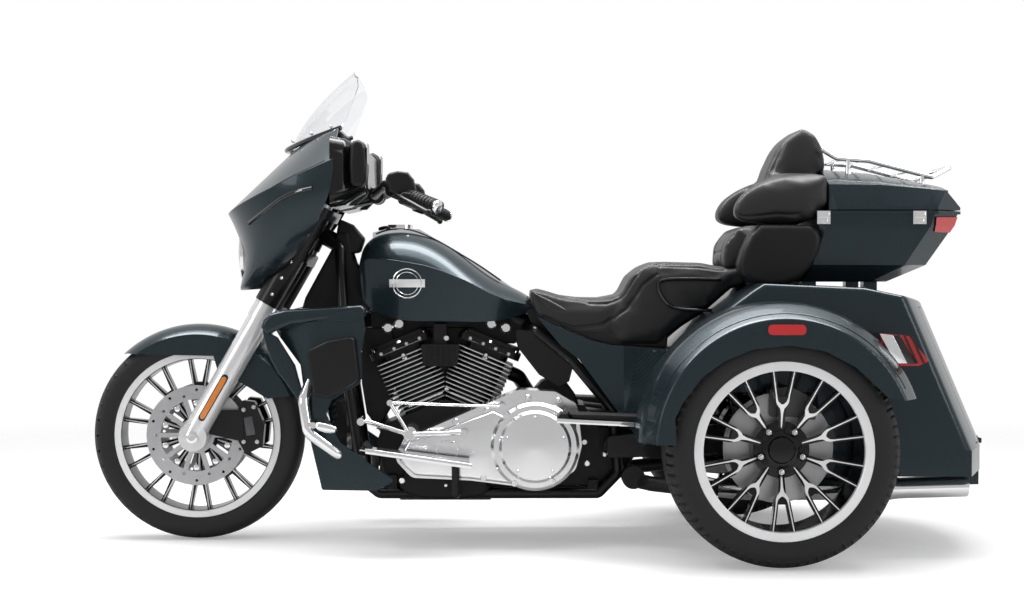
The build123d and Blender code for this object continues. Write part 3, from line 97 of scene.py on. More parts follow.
def effect_group(name, inputs, outputs):
    """An empty shader group with named sockets; returns it, what it is given and its end node."""
    group = bpy.data.node_groups.new(name, "ShaderNodeTree")
    for label, value in inputs.items():
        kind = "NodeSocketColor" if isinstance(value, tuple) else "NodeSocketFloat"
        group.interface.new_socket(label, in_out="INPUT", socket_type=kind).default_value = value
    for label in outputs:
        kind = "NodeSocketColor" if label == "Color" else "NodeSocketFloat"
        group.interface.new_socket(label, in_out="OUTPUT", socket_type=kind)
    return group, group.nodes.new("NodeGroupInput").outputs, group.nodes.new("NodeGroupOutput")


def make_wear_group():
    """Soft patches of handling: a colour shift, a roughness and a fine bump height."""
    group, given, end = effect_group(
        "surface_variation",
        {"Color": (0.5, 0.5, 0.5, 1), "Shade": (0.4, 0.4, 0.4, 1), "Patch Scale": 9.0, "Grain Scale": 900.0,
         "Roughness": 0.4, "Spread": 0.1},
        ("Color", "Roughness", "Height"))
    place = add(group, "TexCoord", {}).outputs["Object"]
    patches = add(group, "TexNoise", {"Detail": 4, "Vector": place, "Scale": given["Patch Scale"]})
    grain = add(group, "TexNoise", {"Detail": 2, "Vector": place, "Scale": given["Grain Scale"]})
    mask = patches.outputs["Fac"]
    swing = math_node(group, "MULTIPLY", math_node(group, "SUBTRACT", mask, 0.5), given["Spread"])
    put(group, end, {"Color": tint(group, given["Color"], given["Shade"], mask),
                     "Roughness": math_node(group, "ADD", given["Roughness"], swing),
                     "Height": grain.outputs["Fac"]})
    return group


def make_grain_group():
    """Pebbled hide: cells over slow creases."""
    group, given, end = effect_group("hide_grain", {"Cell Scale": 420.0, "Crease Scale": 60.0}, ("Height",))
    place = add(group, "TexCoord", {}).outputs["Object"]
    cells = add(group, "TexVoronoi", {"Vector": place, "Scale": given["Cell Scale"]},
                feature="DISTANCE_TO_EDGE")
    crease = add(group, "TexNoise", {"Detail": 6, "Vector": place, "Scale": given["Crease Scale"]})
    pebble = math_node(group, "MINIMUM", cells.outputs["Distance"], 0.18)
    fold = math_node(group, "MULTIPLY", crease.outputs["Fac"], 0.5)
    put(group, end, {"Height": math_node(group, "ADD", pebble, fold)})
    return group


def make_flake_group():
    """Metal flake under clear lacquer: tiny cells of differing brightness."""
    group, given, end = effect_group(
        "metal_flake",
        {"Color": (0.02, 0.03, 0.035, 1), "Flake": (0.1, 0.13, 0.15, 1), "Flake Scale": 1400.0,
         "Amount": 0.35},
        ("Color",))
    place = add(group, "TexCoord", {}).outputs["Object"]
    cells = add(group, "TexVoronoi", {"Vector": place, "Scale": given["Flake Scale"]})
    parts = add(group, "SeparateColor", {"Color": cells.outputs["Color"]})
    share = math_node(group, "MULTIPLY", math_node(group, "POWER", parts.outputs[0], 3.0), given["Amount"])
    put(group, end, {"Color": tint(group, given["Color"], given["Flake"], share)})
    return group


GROUP_MAKERS = {"wear": make_wear_group, "grain": make_grain_group, "flake": make_flake_group}
GROUPS = {}


def group_in(tree, name, values):
    """Places a shared group with its own values; returns its outputs."""
    if name not in GROUPS:
        GROUPS[name] = GROUP_MAKERS[name]()
    return add(tree, "Group", values, node_tree=GROUPS[name]).outputs


def rgba(color):
    return (*color, 1.0)


def grey(level, blue=0.0005):
    """A neutral colour with a little more blue."""
    return level, level, level + blue


def bright(level):
    return grey(level, 0.01)


def material(name, color, rough, shade=None, metallic=0.0, coat=0.0, spread=0.1, patch=9.0, grain=900.0,
             bump=0.03, shine=0.5):
    """A procedural finish: patches of colour and roughness over a fine bump."""
    made = bpy.data.materials.new(name)
    made.use_nodes = True
    tree = made.node_tree
    wear = group_in(tree, "wear", {
        "Color": rgba(color), "Shade": rgba(shade or tuple(0.75 * c for c in color)), "Patch Scale": patch,
        "Grain Scale": grain, "Roughness": rough, "Spread": spread})
    relief = add(tree, "Bump", {"Strength": bump, "Distance": 0.0004, "Height": wear["Height"]})
    put(tree, tree.nodes["Principled BSDF"], {
        "Metallic": metallic, "Coat Weight": coat, "Coat Roughness": 0.03, "Specular IOR Level": shine,
        "Base Color": wear["Color"], "Roughness": wear["Roughness"], "Normal": relief.outputs["Normal"]})
    made.diffuse_color = rgba(color)
    return made


def flake_paint(name, color, flake):
    """Lacquered paint with metal flake."""
    made = material(name, color, 0.26, metallic=0.45, coat=0.3, spread=0.02, bump=0.0, shine=0.2)
    tree = made.node_tree
    specks = group_in(tree, "flake", {"Color": rgba(color), "Flake": rgba(flake)})
    put(tree, tree.nodes["Principled BSDF"], {"Base Color": specks["Color"]})
    return made


def leather(name, color):
    """Grained seat cover."""
    made = material(name, color, 0.46, tuple(1.4 * c for c in color), spread=0.16, patch=16.0, shine=0.4)
    tree = made.node_tree
    relief = next(node for node in tree.nodes if node.type == "BUMP")
    hide = group_in(tree, "grain", {})
    put(tree, relief, {"Strength": 0.22, "Distance": 0.0012, "Height": hide["Height"]})
    return made


def clear(name, color, rough):
    """See-through plastic."""
    made = bpy.data.materials.new(name)
    made.use_nodes = True
    tree = made.node_tree
    wear = group_in(tree, "wear", {"Roughness": rough, "Spread": 0.02})
    put(tree, tree.nodes["Principled BSDF"], {
        "Base Color": rgba(color), "Transmission Weight": 1.0, "IOR": 1.45, "Roughness": wear["Roughness"]})
    return made


def make_finishes(paint):
    """Every finish, by the name of its slot."""
    return {
        "body_paint": flake_paint("graphite_flake_paint", paint, tuple(min(1, 4.5 * c) for c in paint)),
        "black_frame": material("frame_black", grey(0.006), 0.34, coat=0.2, shine=0.2),
        "black_case": material("case_black", grey(0.008), 0.4, bump=0.15, grain=1400, shine=0.2),
        "cylinder_black": material("fin_black", grey(0.006), 0.36, bump=0.1, shine=0.25),
        "polished_cover": material("polished_case", bright(0.84), 0.14, bright(0.76), 0.92, spread=0.06),
        "chrome": material("chrome_plate", bright(0.86), 0.07, bright(0.8), 0.95, spread=0.03, bump=0.0),
        "exhaust_black": material("exhaust_black", grey(0.01), 0.42, shine=0.25),
        "rim_black": material("rim_gloss_black", grey(0.005), 0.2, coat=0.2, shine=0.2),
        "disc_steel": material("disc_steel", bright(0.5), 0.34, bright(0.4), 0.75, spread=0.15),
        "caliper": material("caliper_black", grey(0.008), 0.3, coat=0.2, shine=0.2),
        "caliper_grey": material("caliper_grey", grey(0.1, 0.005), 0.4, metallic=0.6),
        "tyre": material("tyre_rubber", grey(0.012), 0.6, grey(0.017, 0.001), bump=0.2, grain=500, shine=0.3),
        "seat_leather": leather("seat_leather", grey(0.011)),
        "trim_plastic": material("moulded_black", grey(0.008), 0.44, bump=0.25, grain=1800, shine=0.25),
        "grip_rubber": material("grip_rubber", grey(0.01), 0.55, bump=0.2, shine=0.25),
        "clear_shield": clear("clear_shield", (0.94, 0.95, 0.96), 0.02),
        "lamp_red": material("lamp_red", (0.6, 0.006, 0.008), 0.12, (0.5, 0.004, 0.006), coat=0.6),
        "lamp_clear": material("lamp_clear", (0.75, 0.77, 0.8), 0.1, coat=1.0),
        "machined": material("machined_face", bright(0.86), 0.3, bright(0.8), 0.3, spread=0.08),
        "amber": material("amber_reflector", (0.8, 0.24, 0.01), 0.15, (0.7, 0.18, 0.008), coat=0.8),
        "satin_alloy": material("satin_alloy", bright(0.78), 0.26, bright(0.7), 0.55, spread=0.08),
        "gloss_black": material("gloss_black", grey(0.004), 0.12, coat=0.5, shine=0.4),
    }


# every finish by the name of its slot, filled when the first is wanted
MATERIALS = {}


def finish_of(slot):
    """The finish that a slot's pieces wear; all are made when the first is wanted."""
    if not MATERIALS:
        MATERIALS.update(make_finishes(tuple(SCENE.trike_settings.paint_color)))
    return MATERIALS[slot]


def smooth_shell(obj, degrees=32):
    """Merges a CAD node's loose triangles for shading and keeps its edges crisp."""
    mesh = obj.data
    for name in ("custom_normal", "sharp_edge", "sharp_face"):
        if name in mesh.attributes:
            mesh.attributes.remove(mesh.attributes[name])
    mesh.polygons.foreach_set("use_smooth", [True] * len(mesh.polygons))
    obj.modifiers.new("weld", "WELD").merge_threshold = WELD_GAP
    obj.modifiers.new("crisp", "EDGE_SPLIT").split_angle = math.radians(degrees)


# ---- shaping helpers, in millimetres -----------------------------------------------------
def mm(x, y, z):
    """The point or the step that is given in millimetres."""
    return Vector((x, y, z)) * MM


def everything(bm):
    return bm.verts[:] + bm.edges[:] + bm.faces[:]


def both_sides(bm):
    """Mirrors what is modelled on the left to the right."""
    bmesh.ops.mirror(bm, geom=everything(bm), matrix=Matrix.Identity(4), merge_dist=0.00001, axis="Y")


def to_right(bm):
    """Moves what is modelled on the left to the right."""
    bmesh.ops.scale(bm, vec=(1, -1, 1), verts=bm.verts)
    bmesh.ops.reverse_faces(bm, faces=bm.faces)


def finished(name, bm, finish, body="chassis", hides=(), sharp=35, mirrored=False):
    """Turns a bmesh into a finished piece that rides on a body of the frame."""
    if mirrored:
        both_sides(bm)
    bmesh.ops.recalc_face_normals(bm, faces=bm.faces)
    mesh = bpy.data.meshes.new(name)
    bm.to_mesh(mesh)
    bm.free()
    mesh.polygons.foreach_set("use_smooth", [True] * len(mesh.polygons))
    mesh.set_sharp_from_angle(angle=math.radians(sharp))
    mesh.materials.append(finish_of(finish))
    obj = bpy.data.objects.new(name, mesh)
    SCENE.collection.objects.link(obj)
    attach(obj, body)
    if hides:
        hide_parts(*hides)
    return obj


def plate(bm, outline, depth):
    """Closed outline of points pulled out by a vector."""
    face = bm.faces.new([bm.verts.new(p) for p in outline])
    made = bmesh.ops.extrude_face_region(bm, geom=[face])["geom"]
    bmesh.ops.translate(bm, vec=depth, verts=[g for g in made if isinstance(g, bmesh.types.BMVert)])


def slab(bm, outline, near, depth):
    """Outline of (X, Z) points at the near Y, pulled out sideways."""
    plate(bm, [mm(x, near, z) for x, z in outline], mm(0, depth, 0))


def soften(bm, width, segments=2, over=40):
    """Bevels the edges that turn by more than an angle."""
    edges = [e for e in bm.edges if e.is_manifold and e.calc_face_angle(0) > math.radians(over)]
    bmesh.ops.bevel(bm, geom=edges, offset=width * MM, segments=segments, profile=0.5, affect="EDGES",
                    material=-1, clamp_overlap=True)


def panel(name, outline, near, depth, bevel, finish, body="chassis", segments=2):
    """A plate with softened edges on both sides of the machine."""
    bm = bmesh.new()
    slab(bm, outline, near, depth)
    soften(bm, bevel, segments)
    finished(name, bm, finish, body, mirrored=True)


def absorb(bm, other):
    """Adds another bmesh to this one and frees it."""
    mesh = bpy.data.meshes.new("passing")
    other.to_mesh(mesh)
    other.free()
    bm.from_mesh(mesh)
    bpy.data.meshes.remove(mesh)


def moulded(name, shapes, finish, body="chassis", hides=(), mirrored=True):
    """Rounded bodies from outlines: each is (outline of X and Z, near Y, far Y, rounding)."""
    whole = bmesh.new()
    for outline, near, far, rounding in shapes:
        bm = bmesh.new()
        slab(bm, outline, near, far - near)
        soften(bm, rounding, segments=6, over=50)
        absorb(whole, bm)
    finished(name, whole, finish, body, hides, sharp=60, mirrored=mirrored)


def facing(direction):
    """Rotation that turns +Z to a direction."""
    return Vector(direction).to_track_quat("Z", "Y").to_matrix().to_4x4()


def bolt(bm, place, radius, height, direction=OUT, sides=6):
    """Bolt head: a hexagon or a round with a small dome."""
    turn = Matrix.Translation(place) @ facing(direction)
    for base, top, deep, lift, around in ((1, 0.94, 1, 0.5, sides), (0.7, 0.45, 0.4, 1.15, 12)):
        bmesh.ops.create_cone(bm, cap_ends=True, segments=around, radius1=base * radius * MM,
                              radius2=top * radius * MM, depth=deep * height * MM,
                              matrix=turn @ Matrix.Translation(mm(0, 0, lift * height)))


def bolts(bm, spots, radius, height, direction=OUT, sides=6):
    for spot in spots:
        bolt(bm, mm(*spot), radius, height, direction, sides)


def spun(profile, centre, direction=OUT, steps=64):
    """(radius, distance along the axis) points turned about an axis through a centre."""
    bm = bmesh.new()
    verts = [bm.verts.new(mm(r, 0, z)) for r, z in profile]
    edges = [bm.edges.new(pair) for pair in zip(verts, verts[1:])]
    bmesh.ops.spin(bm, geom=verts + edges, cent=(0, 0, 0), axis=UP, angle=math.tau, steps=steps,
                   use_merge=True)
    bmesh.ops.remove_doubles(bm, verts=bm.verts, dist=WELD_GAP)
    bmesh.ops.transform(bm, matrix=Matrix.Translation(centre) @ facing(direction), verts=bm.verts)
    return bm


def tube(bm, points, radius, closed=False, rounded=True):
    """Adds a round bar that follows points."""
    curve = bpy.data.curves.new("passing", "CURVE")
    curve.dimensions = "3D"
    curve.bevel_depth = radius * MM
    curve.bevel_resolution = 3
    curve.use_fill_caps = True
    curve.resolution_u = 8
    line = curve.splines.new("NURBS" if rounded else "POLY")
    line.points.add(len(points) - 1)
    for point, place in zip(line.points, points):
        point.co = (*place, 1)
    if rounded:
        line.order_u = 3
        line.use_endpoint_u = True
    line.use_cyclic_u = closed
    holder = bpy.data.objects.new("passing", curve)
    mesh = bpy.data.meshes.new_from_object(holder)
    bm.from_mesh(mesh)
    bpy.data.objects.remove(holder)
    bpy.data.curves.remove(curve)
    bpy.data.meshes.remove(mesh)


def bead(name, points, radius, finish, body="chassis", closed=False, mirrored=True):
    """A piece that is one round line, or one on each side."""
    bm = bmesh.new()
    tube(bm, points, radius, closed)
    finished(name, bm, finish, body, mirrored=mirrored)


def surface_of(*nodes):
    """A search tree over the meshes of some nodes."""
    bm = bmesh.new()
    for node in nodes:
        bm.from_mesh(NODES[node].data)
    tree = BVHTree.FromBMesh(bm)
    bm.free()
    return tree


def seen_from_left(tree, x, z):
    return tree.ray_cast(mm(x, SIGHT_START, z), Vector((0, -1, 0)))


def on_side(tree, x, z, lift=0.0):
    """Where a line from the left meets a surface at X and Z, lifted off it."""
    place, normal, _, _ = seen_from_left(tree, x, z)
    if place is None:
        raise RuntimeError(f"nothing at {x}, {z}")
    return place + normal * lift * MM


def laid(tree, points, lift=0.0):
    """(X, Z) points laid on a surface and moved out; those that miss it are left out."""
    hits = [seen_from_left(tree, x, z)[0] for x, z in points]
    return [hit + mm(0, lift, 0) for hit in hits if hit is not None]


def line_on(tree, points, lift=0.0, part=30):
    """A line through (X, Z) points, cut in short parts and laid on a surface."""
    wanted = []
    for (x0, z0), (x1, z1) in zip(points, points[1:]):
        count = max(1, int(math.hypot(x1 - x0, z1 - z0) // part))
        wanted += [(x0 + (x1 - x0) * i / count, z0 + (z1 - z0) * i / count) for i in range(count)]
    return laid(tree, wanted + [points[-1]], lift)


# ---- operators -------------------------------------------------------------------------
class TRIKE_PG_settings(bpy.types.PropertyGroup):
    """Sizes and colours that a user would change."""
    paint_color: FloatVectorProperty(name="Paint", description="Body colour under the lacquer",
                                     subtype="COLOR", size=3, min=0, max=1, default=(0.013, 0.022, 0.027))
    front_tread: FloatProperty(name="Front tread", description="Depth of the front tyre's grooves",
                               unit="LENGTH", min=0, default=0.004)
    rear_tread: FloatProperty(name="Rear tread", description="Depth of the rear tyres' grooves",
                              unit="LENGTH", min=0, default=0.005)
    seam_depth: FloatProperty(name="Seams", description="How far the seams draw the seat covers in",
                              unit="LENGTH", min=0, default=0.005)


# nodes that wear another finish than their slot's
NODE_FINISH = {"fork_legs": "satin_alloy", "box_latches": "chrome", "luggage_rack": "chrome",
               "inner_fairing": "rim_black", "mirrors": "trim_plastic"}


class TRIKE_OT_finishes(bpy.types.Operator):
    """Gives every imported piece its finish"""
    bl_idname = "trike.finishes"
    bl_label = "Finishes"

    def execute(self, context):
        for name, node in NODES.items():
            node.data.materials.clear()
            node.data.materials.append(finish_of(NODE_FINISH.get(name, SLOT_OF[name])))
            smooth_shell(node)
        return {"FINISHED"}


# radius, distance from the wheel's middle plane, from the bead to the middle of the tread
REAR_TYRE = [(236, 90), (244, 98), (248, 101), (252, 101), (256, 103.5), (268, 106), (280, 107),
             (291, 105.5), (299, 101.5), (303, 99.5), (305, 97.5), (310, 91), (314.5, 82), (317.5, 73),
             (319.5, 63), (320, 60), (313, 59), (313, 53), (320.8, 52), (321.6, 38), (322.2, 24), (315, 23),
             (315, 17), (322.6, 16), (323, 0)]
FRONT_TYRE = [(241, 45), (247, 51), (251, 55.5), (254, 55.5), (258, 58), (266, 61.5), (276, 64),
              (286, 64.6), (293, 63), (299, 59.5), (304, 53.5), (309, 44.5), (312.5, 35), (315.2, 24),
              (316.8, 14), (317.7, 6), (318, 0)]
# (nearest, farthest, every nth) cuts across the tread, by distance from its middle
REAR_CUTS = [(62, 101, 1), (25, 51, 2), (0, 15, 2)]
FRONT_CUTS = [(14, 60, 1)]
TREAD_FROM = 0.9               # share of the tyre's radius from which cuts are made
CUT_CURL = 1.6                 # how late the cuts turn back, as a power of the distance


class TRIKE_OT_tyres(bpy.types.Operator):
    """Moulds the three tyres with their tread"""
    bl_idname = "trike.tyres"
    bl_label = "Tyres"

    def tyre(self, half, axle, cuts, pitch, slant, depth):
        """Ring of rubber with a groove each pitch degrees, which the slant turns back at the shoulders."""
        bm = spun(half + [(r, -z) for r, z in reversed(half[:-1])], Vector(), UP, 360)
        outer = half[-1][0] * MM
        cut = []
        for face in bm.faces:
            middle = face.calc_center_median()
            if math.hypot(middle.x, middle.y) <= TREAD_FROM * outer:
                continue
            step = int(math.degrees(math.atan2(middle.y, middle.x)) % 360)
            if middle.z < 0:
                step += pitch // 2
            reach = abs(middle.z) / MM
            if any(near < reach < far and step % (pitch * every) == 0 for near, far, every in cuts):
                cut.append(face)
        for part in bmesh.ops.extrude_face_region(bm, geom=cut)["geom"]:
            if isinstance(part, bmesh.types.BMVert):
                share = 1 - depth / math.hypot(part.co.x, part.co.y)
                part.co.x *= share
                part.co.y *= share
        width = half[0][1] * MM
        for vert in bm.verts:
            turn = slant * min(1, abs(vert.co.z) / width) ** CUT_CURL
            vert.co = Matrix.Rotation(math.radians(turn), 3, "Z") @ vert.co
        bmesh.ops.transform(bm, matrix=Matrix.Translation(axle) @ facing(OUT), verts=bm.verts)
        return bm

    def execute(self, context):
        settings = context.scene.trike_settings
        front = self.tyre(FRONT_TYRE, FRONT_AXLE, FRONT_CUTS, pitch=9, slant=9, depth=settings.front_tread)
        finished("front_tyre_tread", front, "tyre", BODY_OF["front_tyre"], ["front_tyre"], 40)
        for side in ("left", "right"):
            rear = self.tyre(REAR_TYRE, REAR_AXLE, REAR_CUTS, pitch=5, slant=2, depth=settings.rear_tread)
            if side == "right":
                to_right(rear)
            node = f"rear_tyre_{side}"
            finished(f"rear_tyre_tread_{side}", rear, "tyre", BODY_OF[node], [node], 40)
        return {"FINISHED"}


# one half of a spoke's machined face: distance from the axle, distance from the spoke's middle
FORK_FACE = [(56, 1.1), (100, 3.2), (113, 5.5), (124, 14), (132, 17.5), (150, 19.2), (219, 30.4), (219, 27.6),
             (160, 17.6), (142, 14.2), (133, 11), (127, 4.5), (125, 0)]
FORK_ROOT = 150                # distance from the axle beyond which a larger rim stretches the face
SPOKES = 10
SPOKE_START = 18               # degrees
BOLT_CIRCLE = 60


class TRIKE_OT_wheels(bpy.types.Operator):
    """Machined faces, bolts, caps and brake parts on the wheels"""
    bl_idname = "trike.wheels"
    bl_label = "Wheels"

    def machined_forks(self, axle, stretch, start, slope, begin):
        """Bright tuning-fork faces, which stand at start, plus slope times the radius beyond begin."""
        bm = bmesh.new()
        half = [(r if r <= FORK_ROOT else FORK_ROOT + (r - FORK_ROOT) * stretch, y) for r, y in FORK_FACE]
        plate(bm, [mm(r, y, 0) for r, y in half + [(r, -y) for r, y in reversed(half[:-1])]], mm(0, 0, 1.6))
        bmesh.ops.triangulate(bm, faces=bm.faces)
        for vert in bm.verts:
            vert.co.z += start * MM + slope * (math.hypot(vert.co.x, vert.co.y) - begin * MM)
        turn = Matrix.Rotation(math.radians(SPOKE_START), 3, "Z")
        bmesh.ops.rotate(bm, matrix=turn, verts=bm.verts)
        bmesh.ops.spin(bm, geom=everything(bm), cent=(0, 0, 0), axis=UP, steps=SPOKES - 1, use_duplicate=True,
                       angle=math.tau * (SPOKES - 1) / SPOKES)
        bmesh.ops.transform(bm, matrix=Matrix.Translation(axle) @ facing(OUT), verts=bm.verts)
        return bm

    def round_axle(self, axle, count, radius, out):
        """Evenly turned spots round an axle, the first where the first spoke stands."""
        turns = [Matrix.Rotation(math.radians(360 / count * i + SPOKE_START), 3, "Y") for i in range(count)]
        return [axle + turn @ mm(radius, out, 0) for turn in turns]

    def rear(self, side):
        face = spun([(219, 80), (219, 98), (221, 99.6), (243, 99.6), (244.4, 98.6), (244.4, 94), (240, 80)],
                    REAR_AXLE, steps=96)
        absorb(face, self.machined_forks(REAR_AXLE, stretch=1.0, start=34.2, slope=50 / 161, begin=60))
        hub = spun([(0, 53), (24, 52.6), (34, 51), (37, 48), (38, 44), (52, 39.5), (54, 36), (0, 36)],
                   REAR_AXLE, steps=48)
        heads, wells = bmesh.new(), bmesh.new()
        well = [(9.2, -8), (12.6, -8), (12.6, 1), (11.4, 2), (10, 1), (9.2, -2)]
        for spot in self.round_axle(REAR_AXLE, 5, BOLT_CIRCLE, 44):
            bolt(heads, spot - mm(0, 4, 0), 8.5, 8)
            absorb(wells, spun(well, spot, steps=20))
        disc = spun([(92, -25.4), (147, -25.4), (148.4, -26.6), (148.4, -39), (92, -39)], REAR_AXLE, steps=72)
        for label, bm, finish in (("wheel_face", face, "machined"), ("hub_cap", hub, "rim_black"),
                                  ("wheel_bolts", heads, "chrome"), ("bolt_wells", wells, "rim_black"),
                                  ("brake_ring", disc, "disc_steel")):
            if side == "right":
                to_right(bm)
            finished(f"rear_{label}_{side}", bm, finish, BODY_OF[f"rear_rim_{side}"])

    def front(self):
        body = BODY_OF["front_rim"]
        face = spun([(230, 44), (230, 53), (232, 54.4), (249, 54.4), (250.4, 53), (248, 46)], FRONT_AXLE,
                    steps=96)
        absorb(face, self.machined_forks(FRONT_AXLE, stretch=1.13, start=22.2, slope=-6 / 176, begin=50))
        finished("front_wheel_face", face, "machined", body, mirrored=True)
        holders = bmesh.new()
        for spot in self.round_axle(FRONT_AXLE, SPOKES, 97, 72):
            absorb(holders, spun([(0, 5), (6, 5), (8.4, 4), (9, 2), (9, -3), (0, -3)], spot, steps=16))
        finished("disc_bobbins", holders, "chrome", body, mirrored=True)
        cap = spun([(0, 77), (12, 77), (19, 75.5), (27, 75), (31, 73.4), (40, 73.4), (42, 70), (0, 70)],
                   FRONT_AXLE, steps=40)
        finished("front_hub_cap", cap, "rim_black", body, mirrored=True)

    def execute(self, context):
        self.rear("left")
        self.rear("right")
        self.front()
        return {"FINISHED"}


# the seat's side outlines, each with its half width
SEAT_SHAPES = [
    ([(14, 758), (-37, 746), (-77, 733), (-131, 726), (-195, 725), (-241, 733), (-300, 760), (-420, 760),
      (-420, 640), (-364, 594), (-250, 594), (-150, 603), (-100, 621), (-42, 650), (-7, 683), (8, 720)], 158),
    ([(-262, 744), (-289, 799), (-317, 826), (-344, 835), (-494, 831), (-545, 821), (-627, 820), (-627, 772),
      (-584, 764), (-502, 692), (-438, 651), (-375, 602), (-364, 594), (-250, 594), (-236, 660)], 172)]
# left halves of the seams: X, Y, Z
SEAT_SEAMS = [[(10, 60, 752), (-60, 110, 730), (-140, 140, 712), (-215, 155, 715), (-262, 160, 742),
               (-300, 160, 790), (-335, 156, 826), (-380, 150, 832)],
              [(-30, 160, 672), (-110, 162, 640), (-200, 166, 650), (-270, 175, 700), (-320, 175, 770),
               (-360, 172, 800)],
              [(-372, 165, 832), (-460, 168, 828), (-560, 165, 820)]]
SEAT_STEP_SEAM = [mm(-372, y, 830) for y in range(-170, 171, 20)]
PAD_SEAMS = [[(-560, 92, 800), (-556, 96, 860), (-575, 90, 925)], [(-552, 0, 868), (-552, 90, 868)]]
REST_SEAMS = [[(-520, 282, 975), (-600, 284, 960), (-760, 284, 968)],
              [(-690, 100, 1060), (-745, 100, 1190), (-800, 96, 1235)]]
CLOTH = {"quality": 5, "mass": 0.35, "tension_stiffness": 12, "compression_stiffness": 12,
         "bending_stiffness": 0.4, "use_pressure": True, "uniform_pressure_force": 1.6,
         "vertex_group_mass": "held"}
FILL_FRAMES = 20
# in metres
COVER_TUCK = 0.001             # how far a cover is drawn in before it is filled
SEAM_HALF_WIDTH = 0.0045
STITCH_STEP = 0.002
SEAT_GRID, PAD_GRID, REST_GRID = 0.0062, 0.005, 0.0085


class TRIKE_OT_upholstery(bpy.types.Operator):
    """Fills and sews the seat, the passenger's back pad and the back rest"""
    bl_idname = "trike.upholstery"
    bl_label = "Upholstery"

    def evaluated(self, obj):
        """Applies the object's modifiers to its mesh."""
        mesh = bpy.data.meshes.new_from_object(obj.evaluated_get(bpy.context.evaluated_depsgraph_get()))
        obj.modifiers.clear()
        old, obj.data = obj.data, mesh
        bpy.data.meshes.remove(old)

    def relax(self, obj, rounds, tuck=0.0):
        """Evens a skin out and draws it in a little."""
        bm = bmesh.new()
        bm.from_mesh(obj.data)
        for _ in range(rounds):
            bmesh.ops.smooth_vert(bm, verts=bm.verts, factor=0.5, use_axis_x=True, use_axis_y=True,
                                  use_axis_z=True)
        bm.normal_update()
        for vert in bm.verts:
            vert.co -= vert.normal * tuck
        bm.to_mesh(obj.data)
        bm.free()

    def skin(self, name, node, grid, shapes):
        """Even quads over a copy of the node, or over its fuller shapes, rounded and drawn in a little."""
        bm = bmesh.new()
        if shapes:
            for outline, half in shapes:
                slab(bm, outline, -half, 2 * half)
            bmesh.ops.recalc_face_normals(bm, faces=bm.faces)
        else:
            bm.from_mesh(NODES[node].data)
            bmesh.ops.remove_doubles(bm, verts=bm.verts, dist=WELD_GAP)
        mesh = bpy.data.meshes.new(name)
        bm.to_mesh(mesh)
        bm.free()
        obj = bpy.data.objects.new(name, mesh)
        SCENE.collection.objects.link(obj)
        remesh = obj.modifiers.new("grid", "REMESH")
        remesh.mode = "VOXEL"
        remesh.voxel_size = grid
        self.evaluated(obj)
        self.relax(obj, rounds=7, tuck=COVER_TUCK)
        return obj

    def fill(self, obj, cap, held_below):
        """Blows the skin up like cloth over foam, by the cap at most; what lies below a height stays put."""
        rest = [v.co.copy() for v in obj.data.vertices]
        held = obj.vertex_groups.new(name="held")
        held.add([v.index for v in obj.data.vertices if v.co.z < held_below], 1.0, "REPLACE")
        cloth = obj.modifiers.new("fill", "CLOTH").settings
        for label, value in CLOTH.items():
            setattr(cloth, label, value)
        cloth.effector_weights.gravity = 0
        for number in range(1, FILL_FRAMES + 1):
            SCENE.frame_set(number)
        grown = obj.evaluated_get(bpy.context.evaluated_depsgraph_get()).to_mesh()
        ends = [v.co.copy() for v in grown.vertices]
        obj.modifiers.clear()
        SCENE.frame_set(1)
        for vert, start, end in zip(obj.data.vertices, rest, ends):
            move = end - start
            vert.co = start + (move if move.length < cap else move.normalized() * cap)
        self.relax(obj, rounds=3)

    def sew(self, obj, seams, depth):
        """Draws the skin in along the seams."""
        bm = bmesh.new()
        bm.from_mesh(obj.data)
        tree = BVHTree.FromBMesh(bm)
        stitches = []
        for seam in seams:
            for a, b in zip(seam, seam[1:]):
                count = max(2, int((b - a).length / STITCH_STEP))
                stitches += [tree.find_nearest(a.lerp(b, i / count))[0] for i in range(count + 1)]
        near = KDTree(len(stitches))
        for i, place in enumerate(stitches):
            near.insert(place, i)
        near.balance()
        bm.normal_update()
        for vert in bm.verts:
            gap = near.find(vert.co)[2]
            if gap < 3 * SEAM_HALF_WIDTH:
                vert.co -= vert.normal * depth * math.exp(-(gap / SEAM_HALF_WIDTH) ** 2)
        bm.to_mesh(obj.data)
        bm.free()

    def pad(self, name, node, grid, seams, depth, cap=0.005, held_below=-1.0, fill=0.8, shapes=()):
        """A sewn cover over foam, in the place of a node."""
        obj = self.skin(name, node, grid, shapes)
        self.fill(obj, cap, held_below)
        smooth = obj.modifiers.new("smooth", "SUBSURF")
        smooth.levels = smooth.render_levels = 1
        self.evaluated(obj)
        self.sew(obj, seams, depth)
        obj.vertex_groups.clear()
        obj.data.polygons.foreach_set("use_smooth", [True] * len(obj.data.polygons))
        obj.data.materials.clear()
        obj.data.materials.append(finish_of("seat_leather"))
        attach(obj, BODY_OF[node])
        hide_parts(node)

    def execute(self, context):
        depth = context.scene.trike_settings.seam_depth
        seat, pad, rest = ([[mm(x, side * y, z) for x, y, z in row] for side in (1, -1) for row in seams]
                           for seams in (SEAT_SEAMS, PAD_SEAMS, REST_SEAMS))
        self.pad("seat_cover", "seat", SEAT_GRID, seat + [SEAT_STEP_SEAM], depth, held_below=0.6,
                 shapes=SEAT_SHAPES)
        self.pad("passenger_pad_cover", "passenger_pad", PAD_GRID, pad, depth, cap=0.008)
        self.pad("backrest_cover", "backrest", REST_GRID, rest, 0.8 * depth, cap=0.01)
        return {"FINISHED"}


